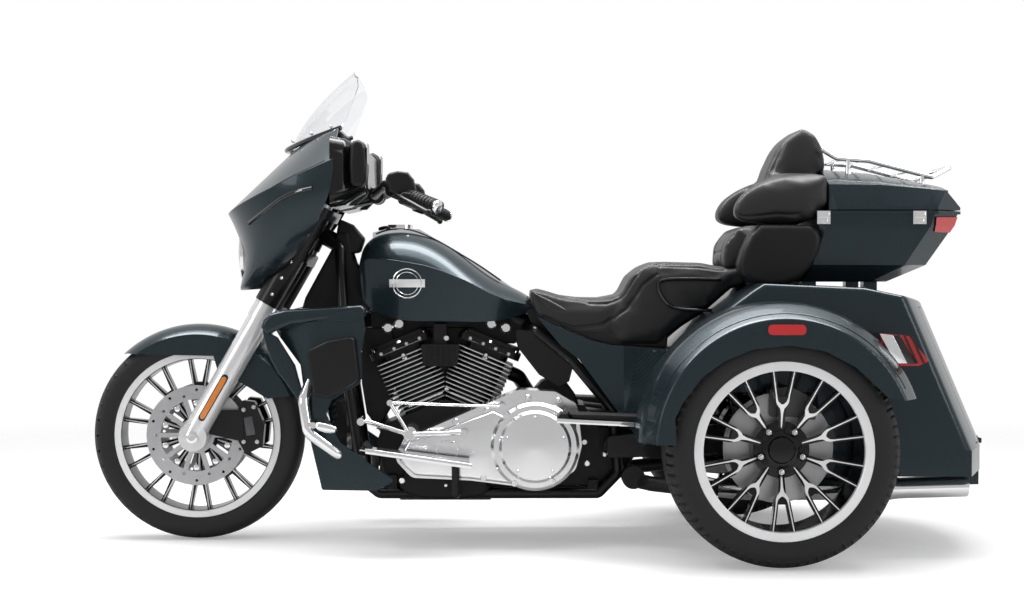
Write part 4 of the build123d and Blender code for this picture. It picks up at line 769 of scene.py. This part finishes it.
CRANK = (267, 0, 263)
CYLINDER_FOOT = 152            # from the crank's axis, up the cylinder
CYLINDER_LEAN = 22.5           # degrees
FIN_COUNT = 13
FIN_START = 10                 # height of the lowest fin over the foot
FIN_PITCH = 13
FIN_HALF = 88
LOW_FINS, LOW_FIN_INSET = 2, 8
FIN_CORNER = (24, 28, 23.8)    # corner's middle from the fin's ends and sides, corner's radius
HEAD_TOP = 186
CLUTCH = (0, 267.6, 301)       # middle of the round cover's face
CLUTCH_BOLT_CIRCLE = 86
# X, Z of the screws round the chain case
CASE_BOLTS = [(330, 325), (232, 370), (140, 402), (20, 440), (-70, 432), (-118, 380), (150, 208), (60, 194),
              (-50, 200)]


class TRIKE_OT_engine(bpy.types.Operator):
    """Bright fin edges, rocker covers, case bolts and the clutch cover's ring"""
    bl_idname = "trike.engine"
    bl_label = "Engine detail"

    def lean(self, bm, degrees):
        """Sets what is modelled upright on the foot of a leaning cylinder."""
        place = Matrix.Translation(mm(*CRANK)) @ Matrix.Rotation(math.radians(degrees), 4, "Y")
        bmesh.ops.transform(bm, matrix=place @ Matrix.Translation(mm(0, 0, CYLINDER_FOOT)), verts=bm.verts)

    def fin_edges(self, degrees):
        """Machined edges round the cooling fins of one cylinder."""
        bm = bmesh.new()
        inset_x, inset_y, radius = FIN_CORNER
        for i in range(FIN_COUNT):
            half = FIN_HALF - (LOW_FIN_INSET if i < LOW_FINS else 0)
            height = FIN_START + FIN_PITCH * i
            ring = []
            for quarter, (sx, sy) in enumerate(((1, 1), (-1, 1), (-1, -1), (1, -1))):
                for k in range(5):
                    angle = math.radians(90 * quarter + 22.5 * k)
                    ring.append(mm(sx * (half - inset_x) + radius * math.cos(angle),
                                   sy * (half - inset_y) + radius * math.sin(angle), height))
            tube(bm, ring, 1.7, closed=True, rounded=False)
        self.lean(bm, degrees)
        side = math.copysign(1, degrees)
        bmesh.ops.bisect_plane(bm, geom=everything(bm), dist=0.00001, plane_no=(side, 0, 0), clear_inner=True,
                               plane_co=mm(CRANK[0] + 2 * side, 0, 0))
        return bm

    def rocker_trim(self, degrees):
        """Gasket plate, bolts and breather of one rocker box."""
        plates, heads = bmesh.new(), bmesh.new()
        outline = [(-86, -66), (-66, -80), (66, -80), (86, -66), (86, 66), (66, 80), (-66, 80), (-86, 66)]
        plate(plates, [mm(x, y, HEAD_TOP + 4) for x, y in outline], mm(0, 0, 3))
        soften(plates, 1)
        corners = ((-80, -60), (80, -60), (80, 60), (-80, 60), (0, 74), (0, -74))
        bolts(heads, [(x, y, HEAD_TOP + 22) for x, y in corners], 6.5, 6, UP)
        for side in (1, -1):
            row = [(x, 79.5 * side, HEAD_TOP + 11) for x in (-62, -20, 20, 62)]
            bolts(heads, row, 5.5, 4, (0, side, 0))
        absorb(heads, spun([(0, 0), (9, 0), (9, 6), (6.5, 8), (6.5, 26), (5, 30), (0, 30)],
                           mm(0, 84, HEAD_TOP - 24), (0, 1, 0.25), 20))
        self.lean(plates, degrees)
        self.lean(heads, degrees)
        return plates, heads

    def execute(self, context):
        edges, gaskets, heads = bmesh.new(), bmesh.new(), bmesh.new()
        for degrees in (CYLINDER_LEAN, -CYLINDER_LEAN):
            absorb(edges, self.fin_edges(degrees))
            for whole, part in zip((gaskets, heads), self.rocker_trim(degrees)):
                absorb(whole, part)
        finished("fin_edges", edges, "machined")
        finished("rocker_gaskets", gaskets, "satin_alloy")
        finished("rocker_bolts", heads, "chrome")

        case = surface_of("primary_cover")
        screws = bmesh.new()
        for x, z in CASE_BOLTS:
            spot = on_side(case, x, z, -0.5)
            absorb(screws, spun([(0, 0), (9.5, 0), (9.5, 5), (8, 7), (0, 7)], spot, steps=20))
            bolt(screws, spot + mm(0, 6, 0), 5.2, 5)
        for angle in (math.radians(90 + 72 * i) for i in range(5)):
            x = CLUTCH[0] + CLUTCH_BOLT_CIRCLE * math.cos(angle)
            z = CLUTCH[2] + CLUTCH_BOLT_CIRCLE * math.sin(angle)
            bolt(screws, on_side(case, x, z, -0.5), 6, 4, sides=16)
        finished("case_bolts", screws, "chrome")
        ring = [(99, -2), (99, 3.4), (100.5, 4.6), (103, 4.6), (105.4, 2), (105.4, -2)]
        finished("clutch_ring", spun(ring, mm(*CLUTCH), steps=96), "chrome")
        oval = [(286, 292), (280, 309), (268, 316), (240, 316), (228, 309), (222, 292), (228, 275),
                (240, 269), (268, 269), (280, 275)]
        bead("inspection_lip", [on_side(case, x, z, 0.5) for x, z in oval], 2.6, "chrome", closed=True,
             mirrored=False)
        return {"FINISHED"}


REFLECTOR = (949, 153, 436)    # middle of the left one
FORK_LINE = (1018, 0.577, 318)  # X of the leg, how far it leans back each millimetre up, Z of that X


class TRIKE_OT_front_end(bpy.types.Operator):
    """Reflectors, bolts, axle nuts and brake detail on the fork"""
    bl_idname = "trike.front_end"
    bl_label = "Front end"

    def execute(self, context):
        along = mm(-0.5, 0, 0.866).normalized()
        across = mm(0.866, 0, 0.5).normalized()
        for name, finish, long_half, wide, start, deep in (
                ("fork_reflectors", "amber", 64, 7.5, 1.5, 6),
                ("reflector_frames", "gloss_black", 68, 10.5, 0, 5)):
            outline = []
            for end in (1, -1):
                for k in range(7):
                    angle = math.radians(30 * k + (0 if end > 0 else 180))
                    outline.append(mm(*REFLECTOR) + mm(0, start, 0) + across * (wide * math.cos(angle) * MM)
                                   + along * ((end * long_half + wide * math.sin(angle)) * MM))
            bm = bmesh.new()
            plate(bm, outline, mm(0, deep, 0))
            soften(bm, 1)
            finished(name, bm, finish, "steering", mirrored=True)

        nut = [(0, 0), (17, 0), (17, 5), (14, 7), (9, 7), (8, 4), (0, 4)]
        heads = spun(nut, mm(1012, 157, 318), steps=32)
        bolts(heads, [(888, 103.6, 556), (858, 103.6, 572)], 8.5, 6)
        bolts(heads, [(828, 91.6, 300), (868, 91.6, 300), (868, 91.6, 396), (838, 91.6, 404)], 7, 6)
        x, lean, z = FORK_LINE
        bolts(heads, [(x - lean * (height - z), 161.5, height) for height in (742, 790, 838)], 5.5, 4)
        finished("fork_bolts", heads, "chrome", "steering", mirrored=True)
        pads = [(832, 322), (860, 318), (868, 372), (842, 378)]
        panel("caliper_pads", pads, 91, 5, 3, "caliper_grey", "steering")
        return {"FINISHED"}


class TRIKE_OT_fairing_trim(bpy.types.Operator):
    """Lamp slots, windshield trim, a crease bead, headlamp bezel and mirror glass"""
    bl_idname = "trike.fairing_trim"
    bl_label = "Fairing trim"

    def execute(self, context):
        shell = surface_of("fairing")
        line = [(833, 950), (798, 972), (750, 1003), (710, 1028), (664, 1041), (634, 1046)]
        bead("running_lamp_slots", line_on(shell, line, -0.5), 6.2, "gloss_black", "steering")
        bead("running_lamps", line_on(shell, line[:-1], 3.6), 2.4, "lamp_clear", "steering")

        arc = [(746, 0, 1172), (744, 40, 1173), (724, 84, 1179), (682, 144, 1192), (628, 186, 1209),
               (566, 212, 1229)]
        base = [mm(x, -y, z) for x, y, z in reversed(arc[1:])] + [mm(*p) for p in arc]
        bead("windshield_base", base, 7.5, "gloss_black", "steering", mirrored=False)
        screws = bmesh.new()
        bolts(screws, [(716, 112, 1196), (655, 176, 1214), (596, 206, 1232)], 6, 4, (0.5, 0.85, 0.1), 16)
        finished("windshield_screws", screws, "chrome", "steering", mirrored=True)

        bezel = [(73, -6), (73, 2), (76, 6), (82, 7), (85, 3), (85, -6)]
        finished("headlamp_bezel", spun(bezel, mm(876, 0, 868), FORWARD, 72), "chrome", "steering")
        lights = bmesh.new()
        lens = [(0, -2), (24, -2), (26, 2), (22, 5), (12, 8), (0, 9)]
        for z in (895, 838):
            absorb(lights, spun(lens, mm(874, 0, z), FORWARD, 32))
        finished("headlamp_units", lights, "lamp_clear", "steering")

        glass = bmesh.new()
        outline = [(270, 1124), (284, 1116), (352, 1116), (366, 1126), (368, 1160), (352, 1174), (284, 1174),
                   (270, 1164)]
        plate(glass, [mm(479.4, y, z) for y, z in outline], mm(1.6, 0, 0))
        finished("mirror_glass", glass, "rim_black", "steering", mirrored=True)
        crease = line_on(shell, [(886, 985), (840, 1007), (770, 1042), (700, 1078), (600, 1124)], 0.2)
        bead("fairing_crease", crease, 1.6, "body_paint", "steering")
        return {"FINISHED"}


GRIP_ROOT, GRIP_END = mm(366, 372, 1028), mm(276, 470, 990)
EMBLEM = (377, 774)            # X, Z of its middle on the tank's side


class TRIKE_OT_cockpit(bpy.types.Operator):
    """Grip ribs, switch housings, filler cap and the tank's trim"""
    bl_idname = "trike.cockpit"
    bl_label = "Cockpit and tank"

    def execute(self, context):
        way = (GRIP_END - GRIP_ROOT).normalized()
        ribs, buttons = bmesh.new(), bmesh.new()
        for i in range(9):
            absorb(ribs, spun([(17.6, -3.4), (19.6, -2.4), (19.8, 2.4), (17.6, 3.4)],
                              GRIP_ROOT.lerp(GRIP_END, 0.12 + 0.096 * i), way, 24))
        finished("grip_ribs", ribs, "grip_rubber", "steering", mirrored=True)
        cap = spun([(0, -1), (19, -1), (20, 2), (19, 6), (14, 8), (0, 8.5)], GRIP_END, way, 28)
        finished("grip_caps", cap, "chrome", "steering", mirrored=True)
        for share in (-0.16, -0.34):
            bolt(buttons, GRIP_ROOT.lerp(GRIP_END, share) + mm(-6, 0, 26), 7, 6, (-0.2, 0, 1), 12)
        finished("switch_buttons", buttons, "grip_rubber", "steering", mirrored=True)
        cluster = [(426, 1072), (418, 1088), (392, 1094), (362, 1090), (346, 1070), (340, 1040), (352, 1022),
                   (384, 1020), (414, 1036)]
        reservoir = [(372, 1034), (350, 1030), (336, 1004), (352, 992), (384, 1004), (392, 1024)]
        shapes = [(cluster, 344, 392, 9), (reservoir, 372, 410, 6)]
        moulded("switch_housings", shapes, "trim_plastic", "steering")

        tank = surface_of("fuel_tank")
        rings, bar = bmesh.new(), bmesh.new()
        x, z = EMBLEM
        for radius, thick in ((44, 2.2), (34, 1.4)):
            angles = [k * math.pi / 8 for k in range(16)]
            ring = [(x + radius * math.cos(a), z + radius * math.sin(a)) for a in angles]
            tube(rings, [on_side(tank, *spot, 0.3) for spot in ring], thick, closed=True)
        finished("tank_rings", rings, "chrome", mirrored=True)
        corners = ((430, 786), (324, 786), (324, 762), (430, 762))
        plate(bar, [mm(x, on_side(tank, x, z).y / MM + 0.6, z) for x, z in corners], mm(0, 2.4, 0))
        soften(bar, 0.6)
        finished("tank_bars", bar, "machined", mirrored=True)
        filler = [(0, 0), (30, 0), (31, 5), (29, 10), (20, 13), (0, 14)]
        finished("filler_cap", spun(filler, mm(440, 0, 934), (0.05, 0, 1), 48), "gloss_black")
        return {"FINISHED"}


class TRIKE_OT_body_trim(bpy.types.Operator):
    """Tail-lamp surrounds, seat rail and plate, and the box's latch levers"""
    bl_idname = "trike.body_trim"
    bl_label = "Body trim"

    def execute(self, context):
        strip = [(-930, 641), (-966, 637), (-1006, 560), (-974, 560)]
        base = [(-967, 637), (-986, 636), (-1032, 558), (-1007, 558)]
        panel("tail_lamp_strips", strip, 606, 8, 1, "chrome")
        panel("tail_lamp_bases", base, 606, 6, 1, "gloss_black")
        rail = [(-552, 166, 782), (-545, 178, 785), (-470, 181, 787), (-395, 181, 787), (-366, 180, 780),
                (-362, 180, 762), (-374, 180, 735), (-398, 180, 706), (-430, 179, 698), (-500, 178, 695),
                (-520, 166, 694)]
        bead("passenger_rail", [mm(*p) for p in rail], 5.2, "gloss_black")
        panel("rail_well", [(-382, 774), (-388, 768), (-396, 734), (-410, 714), (-430, 708), (-500, 706),
                            (-508, 714), (-508, 768), (-500, 776)], 171, 5, 3, "seat_leather")
        side = on_side(surface_of("seat"), -246, 634).y / MM
        panel("seat_plate", [(-282, 628), (-276, 622), (-222, 622), (-212, 630), (-210, 640), (-216, 648),
                             (-270, 648), (-279, 640)], side + 4, 4, 1.2, "trim_plastic")
        levers = bmesh.new()
        for x in (-831, -1108):
            for z, wide, high in ((972, 15, 8), (954, 11, 7)):
                corners = ((-1, -1), (1, -1), (1, 1), (-1, 1))
                slab(levers, [(x + sx * wide, z + sz * high) for sx, sz in corners], 297, 5)
        soften(levers, 1.5)
        finished("latch_levers", levers, "chrome")
        return {"FINISHED"}


# outlines of X and Z
POD = [(-650, 945), (-720, 946), (-792, 945), (-818, 932), (-829, 905), (-822, 868), (-798, 822), (-768, 788),
       (-722, 768), (-672, 765), (-622, 777), (-594, 802), (-588, 832), (-599, 872), (-620, 916)]
MIRROR = [(527, 1166), (520, 1180), (504, 1184), (490, 1176), (481, 1150), (480, 1100), (484, 1062),
          (496, 1050), (520, 1050), (528, 1064), (530, 1110)]
DASH = [(576, 1160), (560, 1172), (520, 1176), (497, 1162), (490, 1100), (486, 1036), (520, 1002),
        (560, 1000)]
NECK = [(704, 684), (690, 730), (652, 800), (608, 880), (594, 930), (560, 930), (546, 850), (520, 815),
        (494, 790), (492, 690), (560, 672), (640, 674)]
LOCK = [(588, 968), (546, 950), (510, 908), (524, 866), (560, 860), (600, 900)]
HARNESS = [(492, 690), (486, 600), (460, 590), (330, 600), (262, 560), (200, 600), (60, 590), (20, 610),
           (6, 664), (60, 676), (300, 680), (440, 680)]
VALLEY = [(352, 640), (330, 560), (300, 470), (262, 430), (230, 470), (196, 560), (176, 640)]
BEHIND = [(508, 640), (524, 560), (520, 470), (505, 380), (470, 330), (430, 400), (412, 560), (430, 640)]
STARTER = [(10, 440), (-22, 478), (-60, 490), (-96, 478), (-124, 440), (-140, 396), (-236, 384), (-240, 350),
           (-80, 350), (0, 380)]
UNDER = [(34, 716), (12, 660), (-40, 600), (-100, 556), (-170, 556), (-200, 596), (-110, 650), (-40, 700),
         (0, 740)]
PAN = [(406, 190), (398, 166), (378, 148), (336, 134), (270, 132), (206, 134), (150, 144), (130, 166),
       (150, 200), (220, 212), (380, 212)]
REAR_CASE = [(-120, 350), (-200, 352), (-318, 334), (-318, 280), (-284, 232), (-238, 172), (-200, 160),
             (-124, 166)]
ROLL = [(786, 650), (780, 672), (756, 690), (715, 700), (600, 707), (500, 713), (487, 706), (485, 676),
        (600, 668), (700, 656), (750, 636), (772, 622)]
SHIELD_EDGE = [(783, 644), (775, 604), (760, 560), (740, 520), (723, 499), (683, 442), (670, 400), (660, 430),
               (690, 540), (740, 620)]
SKIRT = [(6, 748), (-33, 704), (-76, 648), (-163, 605), (-222, 590), (-310, 585), (-392, 582), (-396, 640),
         (-300, 650), (-200, 662), (-110, 690), (-40, 728)]


class TRIKE_OT_bulk(bpy.types.Operator):
    """Housings, covers and dark masses that fill the machine between its frame tubes"""
    bl_idname = "trike.bulk"
    bl_label = "Housings and masses"

    def execute(self, context):
        plastic = "trim_plastic"
        moulded("speaker_housings", [(POD, 178, 287, 20)], plastic, hides=["speaker_pods"])
        moulded("mirror_housings", [(MIRROR, 258, 372, 13)], plastic, "steering", ["mirrors"])
        moulded("dash_sides", [(DASH, 196, 232, 10)], plastic, "steering")
        moulded("neck_covers", [(NECK, -32, 32, 8)], plastic, mirrored=False)
        moulded("lock_housing", [(LOCK, -30, 30, 8)], plastic, "steering", mirrored=False)
        moulded("harness_covers", [(HARNESS, -24, 24, 3), (VALLEY, -30, 30, 3), (BEHIND, -30, 30, 6),
                                   (STARTER, -60, 70, 8), (UNDER, -80, 80, 4)], plastic, mirrored=False)
        moulded("engine_pans", [(PAN, 72, 150, 12), (REAR_CASE, 60, 104, 12)], "black_case", mirrored=False)
        moulded("shield_rolls", [(ROLL, 268, 335, 14), (SHIELD_EDGE, 302, 331, 6)], "body_paint")
        moulded("seat_skirt", [(SKIRT, 96, 160, 8)], "seat_leather")
        return {"FINISHED"}


CREASE_CIRCLE = (-666, 336, 361)   # X, Z and radius of the crease on the rear fenders
# X, Z lines on the left sides
TANK_CREASE = [(500, 848), (452, 846), (410, 841), (366, 834), (323, 826), (280, 812), (236, 796), (192, 776),
               (149, 754), (104, 734), (66, 714)]
SHIELD_CREASE = [(744, 610), (734, 634), (712, 652), (676, 660), (600, 666), (505, 672)]
CONSOLE_EDGE = [(476, 922), (448, 934), (410, 938), (372, 936), (330, 921), (282, 898), (222, 868),
                (162, 832), (100, 794), (48, 758)]
# X, Y, Z and radius
PLUGS = [(262, 92, 610, 9), (262, 66, 456, 8), (392, 152, 190, 9), (262, 152, 176, 5), (-150, 108, 300, 9),
         (-158, 108, 236, 9), (-210, 106, 262, 7)]


class TRIKE_OT_chassis_trim(bpy.types.Operator):
    """Polished board edges, guard lamps, crease beads, console trim and case fittings"""
    bl_idname = "trike.chassis_trim"
    bl_label = "Chassis trim"

    def boards(self):
        top = bmesh.new()
        plate(top, [mm(498, 304, 303.8), mm(498, 418, 303.8), mm(190, 418, 267.2), mm(190, 304, 267.2)],
              mm(0, 0, 4))
        soften(top, 1)
        finished("rider_board_plates", top, "polished_cover", mirrored=True)
        bar = [(482, 311), (181, 267), (181, 252), (482, 296)]
        strip = [(-58, 396), (-302, 384), (-304, 371), (-58, 383)]
        rubber = [(-58, 396.5), (-302, 384.5), (-304, 396), (-290, 402), (-70, 410)]
        panel("rider_board_bars", bar, 417, 8, 2, "chrome", segments=3)
        panel("passenger_board_strips", strip, 429, 6, 1.5, "chrome")
        panel("passenger_board_rubbers", rubber, 330, 104, 2, "grip_rubber")
        lamp = spun([(0, -4), (8, -3), (13, 6), (14.5, 20), (13.5, 40), (9, 54), (0, 60)], mm(622, 372, 372),
                    (-1, 0, -0.25), 32)
        absorb(lamp, spun([(0, 0), (9, 0), (9, 26), (0, 26)], mm(640, 352, 372), (-0.3, 1, 0), 20))
        finished("guard_lamps", lamp, "chrome", mirrored=True)

    def creases(self):
        x, z, radius = CREASE_CIRCLE
        angles = [math.radians(26 + 3 * k) for k in range(48)]
        arc = [(x - radius * math.cos(a), z + radius * math.sin(a)) for a in angles]
        bead("fender_creases", laid(surface_of("rear_fenders"), arc, 0.2), 1.9, "body_paint")
        bead("tank_creases", line_on(surface_of("fuel_tank"), TANK_CREASE, -0.2, 14), 1.4, "body_paint")
        shield = surface_of("lower_fairings", "glove_boxes")
        bead("shield_creases", line_on(shield, SHIELD_CREASE, -0.2, 14), 1.8, "body_paint")
        console = surface_of("tank_console")
        points = []
        for x, z in CONSOLE_EDGE:
            hits = laid(console, [(x, z - drop) for drop in range(0, 24, 3)], 0.5)
            points += hits[:1]
        bead("console_beads", points, 2.6, "gloss_black")

    def fittings(self):
        bm = bmesh.new()
        for x, y, z, radius in PLUGS:
            plug = [(0, 0), (radius, 0), (radius, 4), (radius - 2, 6), (0, 6)]
            absorb(bm, spun(plug, mm(x, y, z), steps=24))
        knob = [(0, 0), (17, 0), (17, 10), (12, 16), (9, 16), (9, 24), (0, 24)]
        for x, z in ((438, 640), (404, 652), (128, 652), (84, 640)):
            absorb(bm, spun(knob, mm(x, 60, z), steps=24))
        for side in (1, -1):
            lean = math.radians(CYLINDER_LEAN * side)
            way = Vector((math.cos(lean), 0, -math.sin(lean))) * side
            start = mm(262, 96, 452) + way * (12 * MM)
            tube(bm, [start, start + way * (110 * MM)], 3.6, rounded=False)
        finished("engine_fittings", bm, "chrome")

    def lamp_bars(self):
        bm = bmesh.new()
        for share in (0.3, 0.62):
            high, low = (-976 - 62 * share, 636 - 4 * share), (-1018 - 58 * share, 560)
            slab(bm, [high, (high[0] - 6, high[1]), low, (low[0] + 6, low[1])], 614, 3)
        finished("tail_lamp_bars", bm, "gloss_black", mirrored=True)

    def execute(self, context):
        self.boards()
        self.creases()
        self.fittings()
        self.lamp_bars()
        return {"FINISHED"}


# name, place, aim, width, height, watts, lights flat surfaces too
LAMPS = [("overhead", (0.0, 0.0, 3.0), (0, -0.1, 0.4), 5.0, 1.6, 130, True),
         ("crown_card", (0.0, -0.15, 2.9), (0, -0.15, 0.4), 4.6, 0.6, 130, False),
         ("front_side", (3.6, 2.2, 1.8), (0.4, 0, 0.6), 1.2, 1.8, 26, True),
         ("rear_side", (-3.6, 2.4, 1.8), (-0.4, 0, 0.6), 1.2, 1.8, 26, True)]
FLOOR_RADIUS = 14
CAMERA_PLACE = (0.102, 5.787, 0.819)
CAMERA_AIM = (-0.0063, -1, -0.0204)
CAMERA_LENS = 67.02


class TRIKE_OT_studio(bpy.types.Operator):
    """Builds the floor, the lamps and the camera"""
    bl_idname = "trike.studio"
    bl_label = "Studio"

    def floor(self):
        """A pale disc that fades out before its edge and keeps the machine's shadow."""
        bm = bmesh.new()
        bmesh.ops.create_circle(bm, cap_ends=True, segments=96, radius=FLOOR_RADIUS)
        mesh = bpy.data.meshes.new("floor")
        bm.to_mesh(mesh)
        bm.free()
        floor = bpy.data.objects.new("floor", mesh)
        SCENE.collection.objects.link(floor)
        made = bpy.data.materials.new("floor_white")
        made.use_nodes = True
        tree = made.node_tree
        shader = tree.nodes["Principled BSDF"]
        seen = add(tree, "LightPath", {}).outputs["Is Camera Ray"]
        put(tree, shader, {"Base Color": (0.84, 0.84, 0.84, 1), "Roughness": 0.7, "Specular IOR Level": 0.1,
                           "Emission Color": (1, 1, 1, 1),
                           "Emission Strength": math_node(tree, "MULTIPLY", seen, 0.3)})
        place = add(tree, "TexCoord", {})
        sized = add(tree, "Mapping", {"Scale": (0.2, 0.2, 0.2), "Vector": place.outputs["Object"]})
        fade = add(tree, "TexGradient", {"Vector": sized.outputs["Vector"]}, gradient_type="SPHERICAL")
        edge = add(tree, "MapRange", {"From Max": 0.55, "Value": fade.outputs["Fac"]})
        open_air = add(tree, "BsdfTransparent", {})
        mix = add(tree, "MixShader", {0: edge.outputs["Result"], 1: open_air.outputs[0],
                                      2: shader.outputs[0]})
        put(tree, tree.nodes["Material Output"], {"Surface": mix.outputs[0]})
        mesh.materials.append(made)

    def sky(self):
        """White where the camera looks, and softer in what shiny and flat surfaces see."""
        SCENE.world = bpy.data.worlds.new("studio")
        SCENE.world.use_nodes = True
        tree = SCENE.world.node_tree
        rays = add(tree, "LightPath", {}).outputs
        seen = math_node(tree, "MAXIMUM", rays["Is Camera Ray"], rays["Is Transmission Ray"])
        way = add(tree, "TexCoord", {})
        parts = add(tree, "SeparateXYZ", {"Vector": way.outputs["Generated"]})
        wall = add(tree, "MapRange", {"From Min": -0.25, "From Max": 0.5, "To Min": 0.9, "To Max": 0.56,
                                      "Value": parts.outputs["Y"]})
        glossy = math_node(tree, "MULTIPLY", rays["Is Glossy Ray"], wall.outputs["Result"])
        diffuse = math_node(tree, "MULTIPLY", rays["Is Diffuse Ray"], 0.5)
        level = math_node(tree, "MAXIMUM", math_node(tree, "MAXIMUM", seen, glossy), diffuse)
        put(tree, tree.nodes["Background"], {"Color": (1, 1, 1, 1), "Strength": level})

    def lamps(self):
        for name, place, aim, width, height, watts, flat in LAMPS:
            light = bpy.data.lights.new(name, "AREA")
            light.shape = "RECTANGLE"
            light.size, light.size_y, light.energy = width, height, watts
            lamp = bpy.data.objects.new(name, light)
            SCENE.collection.objects.link(lamp)
            lamp.visible_diffuse = flat
            lamp.location = place
            lamp.rotation_euler = (Vector(aim) - Vector(place)).to_track_quat("-Z", "Y").to_euler()

    def camera(self):
        lens = bpy.data.cameras.new("camera")
        lens.sensor_width = 36
        lens.lens = CAMERA_LENS
        camera = bpy.data.objects.new("camera", lens)
        SCENE.collection.objects.link(camera)
        camera.location = CAMERA_PLACE
        camera.rotation_euler = Vector(CAMERA_AIM).to_track_quat("-Z", "Y").to_euler()
        SCENE.camera = camera

    def execute(self, context):
        self.floor()
        self.sky()
        self.lamps()
        self.camera()
        SCENE.view_settings.view_transform = "Standard"
        return {"FINISHED"}


STEPS = (TRIKE_OT_finishes, TRIKE_OT_tyres, TRIKE_OT_wheels, TRIKE_OT_upholstery, TRIKE_OT_engine,
         TRIKE_OT_front_end, TRIKE_OT_fairing_trim, TRIKE_OT_cockpit, TRIKE_OT_body_trim, TRIKE_OT_bulk,
         TRIKE_OT_chassis_trim, TRIKE_OT_studio)


class TRIKE_PT_dressing(bpy.types.Panel):
    """Lists what dresses the trike"""
    bl_label = "Trike"
    bl_idname = "TRIKE_PT_dressing"
    bl_space_type = "VIEW_3D"
    bl_region_type = "UI"
    bl_category = "Trike"

    def draw(self, context):
        column = self.layout.column()
        for label in ("paint_color", "front_tread", "rear_tread", "seam_depth"):
            column.prop(context.scene.trike_settings, label)
        for step in STEPS:
            column.operator(step.bl_idname)


CLASSES = (TRIKE_PG_settings, *STEPS, TRIKE_PT_dressing)


def register():
    for cls in CLASSES:
        bpy.utils.register_class(cls)
    bpy.types.Scene.trike_settings = PointerProperty(type=TRIKE_PG_settings)


def unregister():
    del bpy.types.Scene.trike_settings
    for cls in reversed(CLASSES):
        bpy.utils.unregister_class(cls)


def main():
    register()
    for step in STEPS:
        getattr(bpy.ops.trike, step.bl_idname.split(".")[1])()


if __name__ == "__main__":
    main()
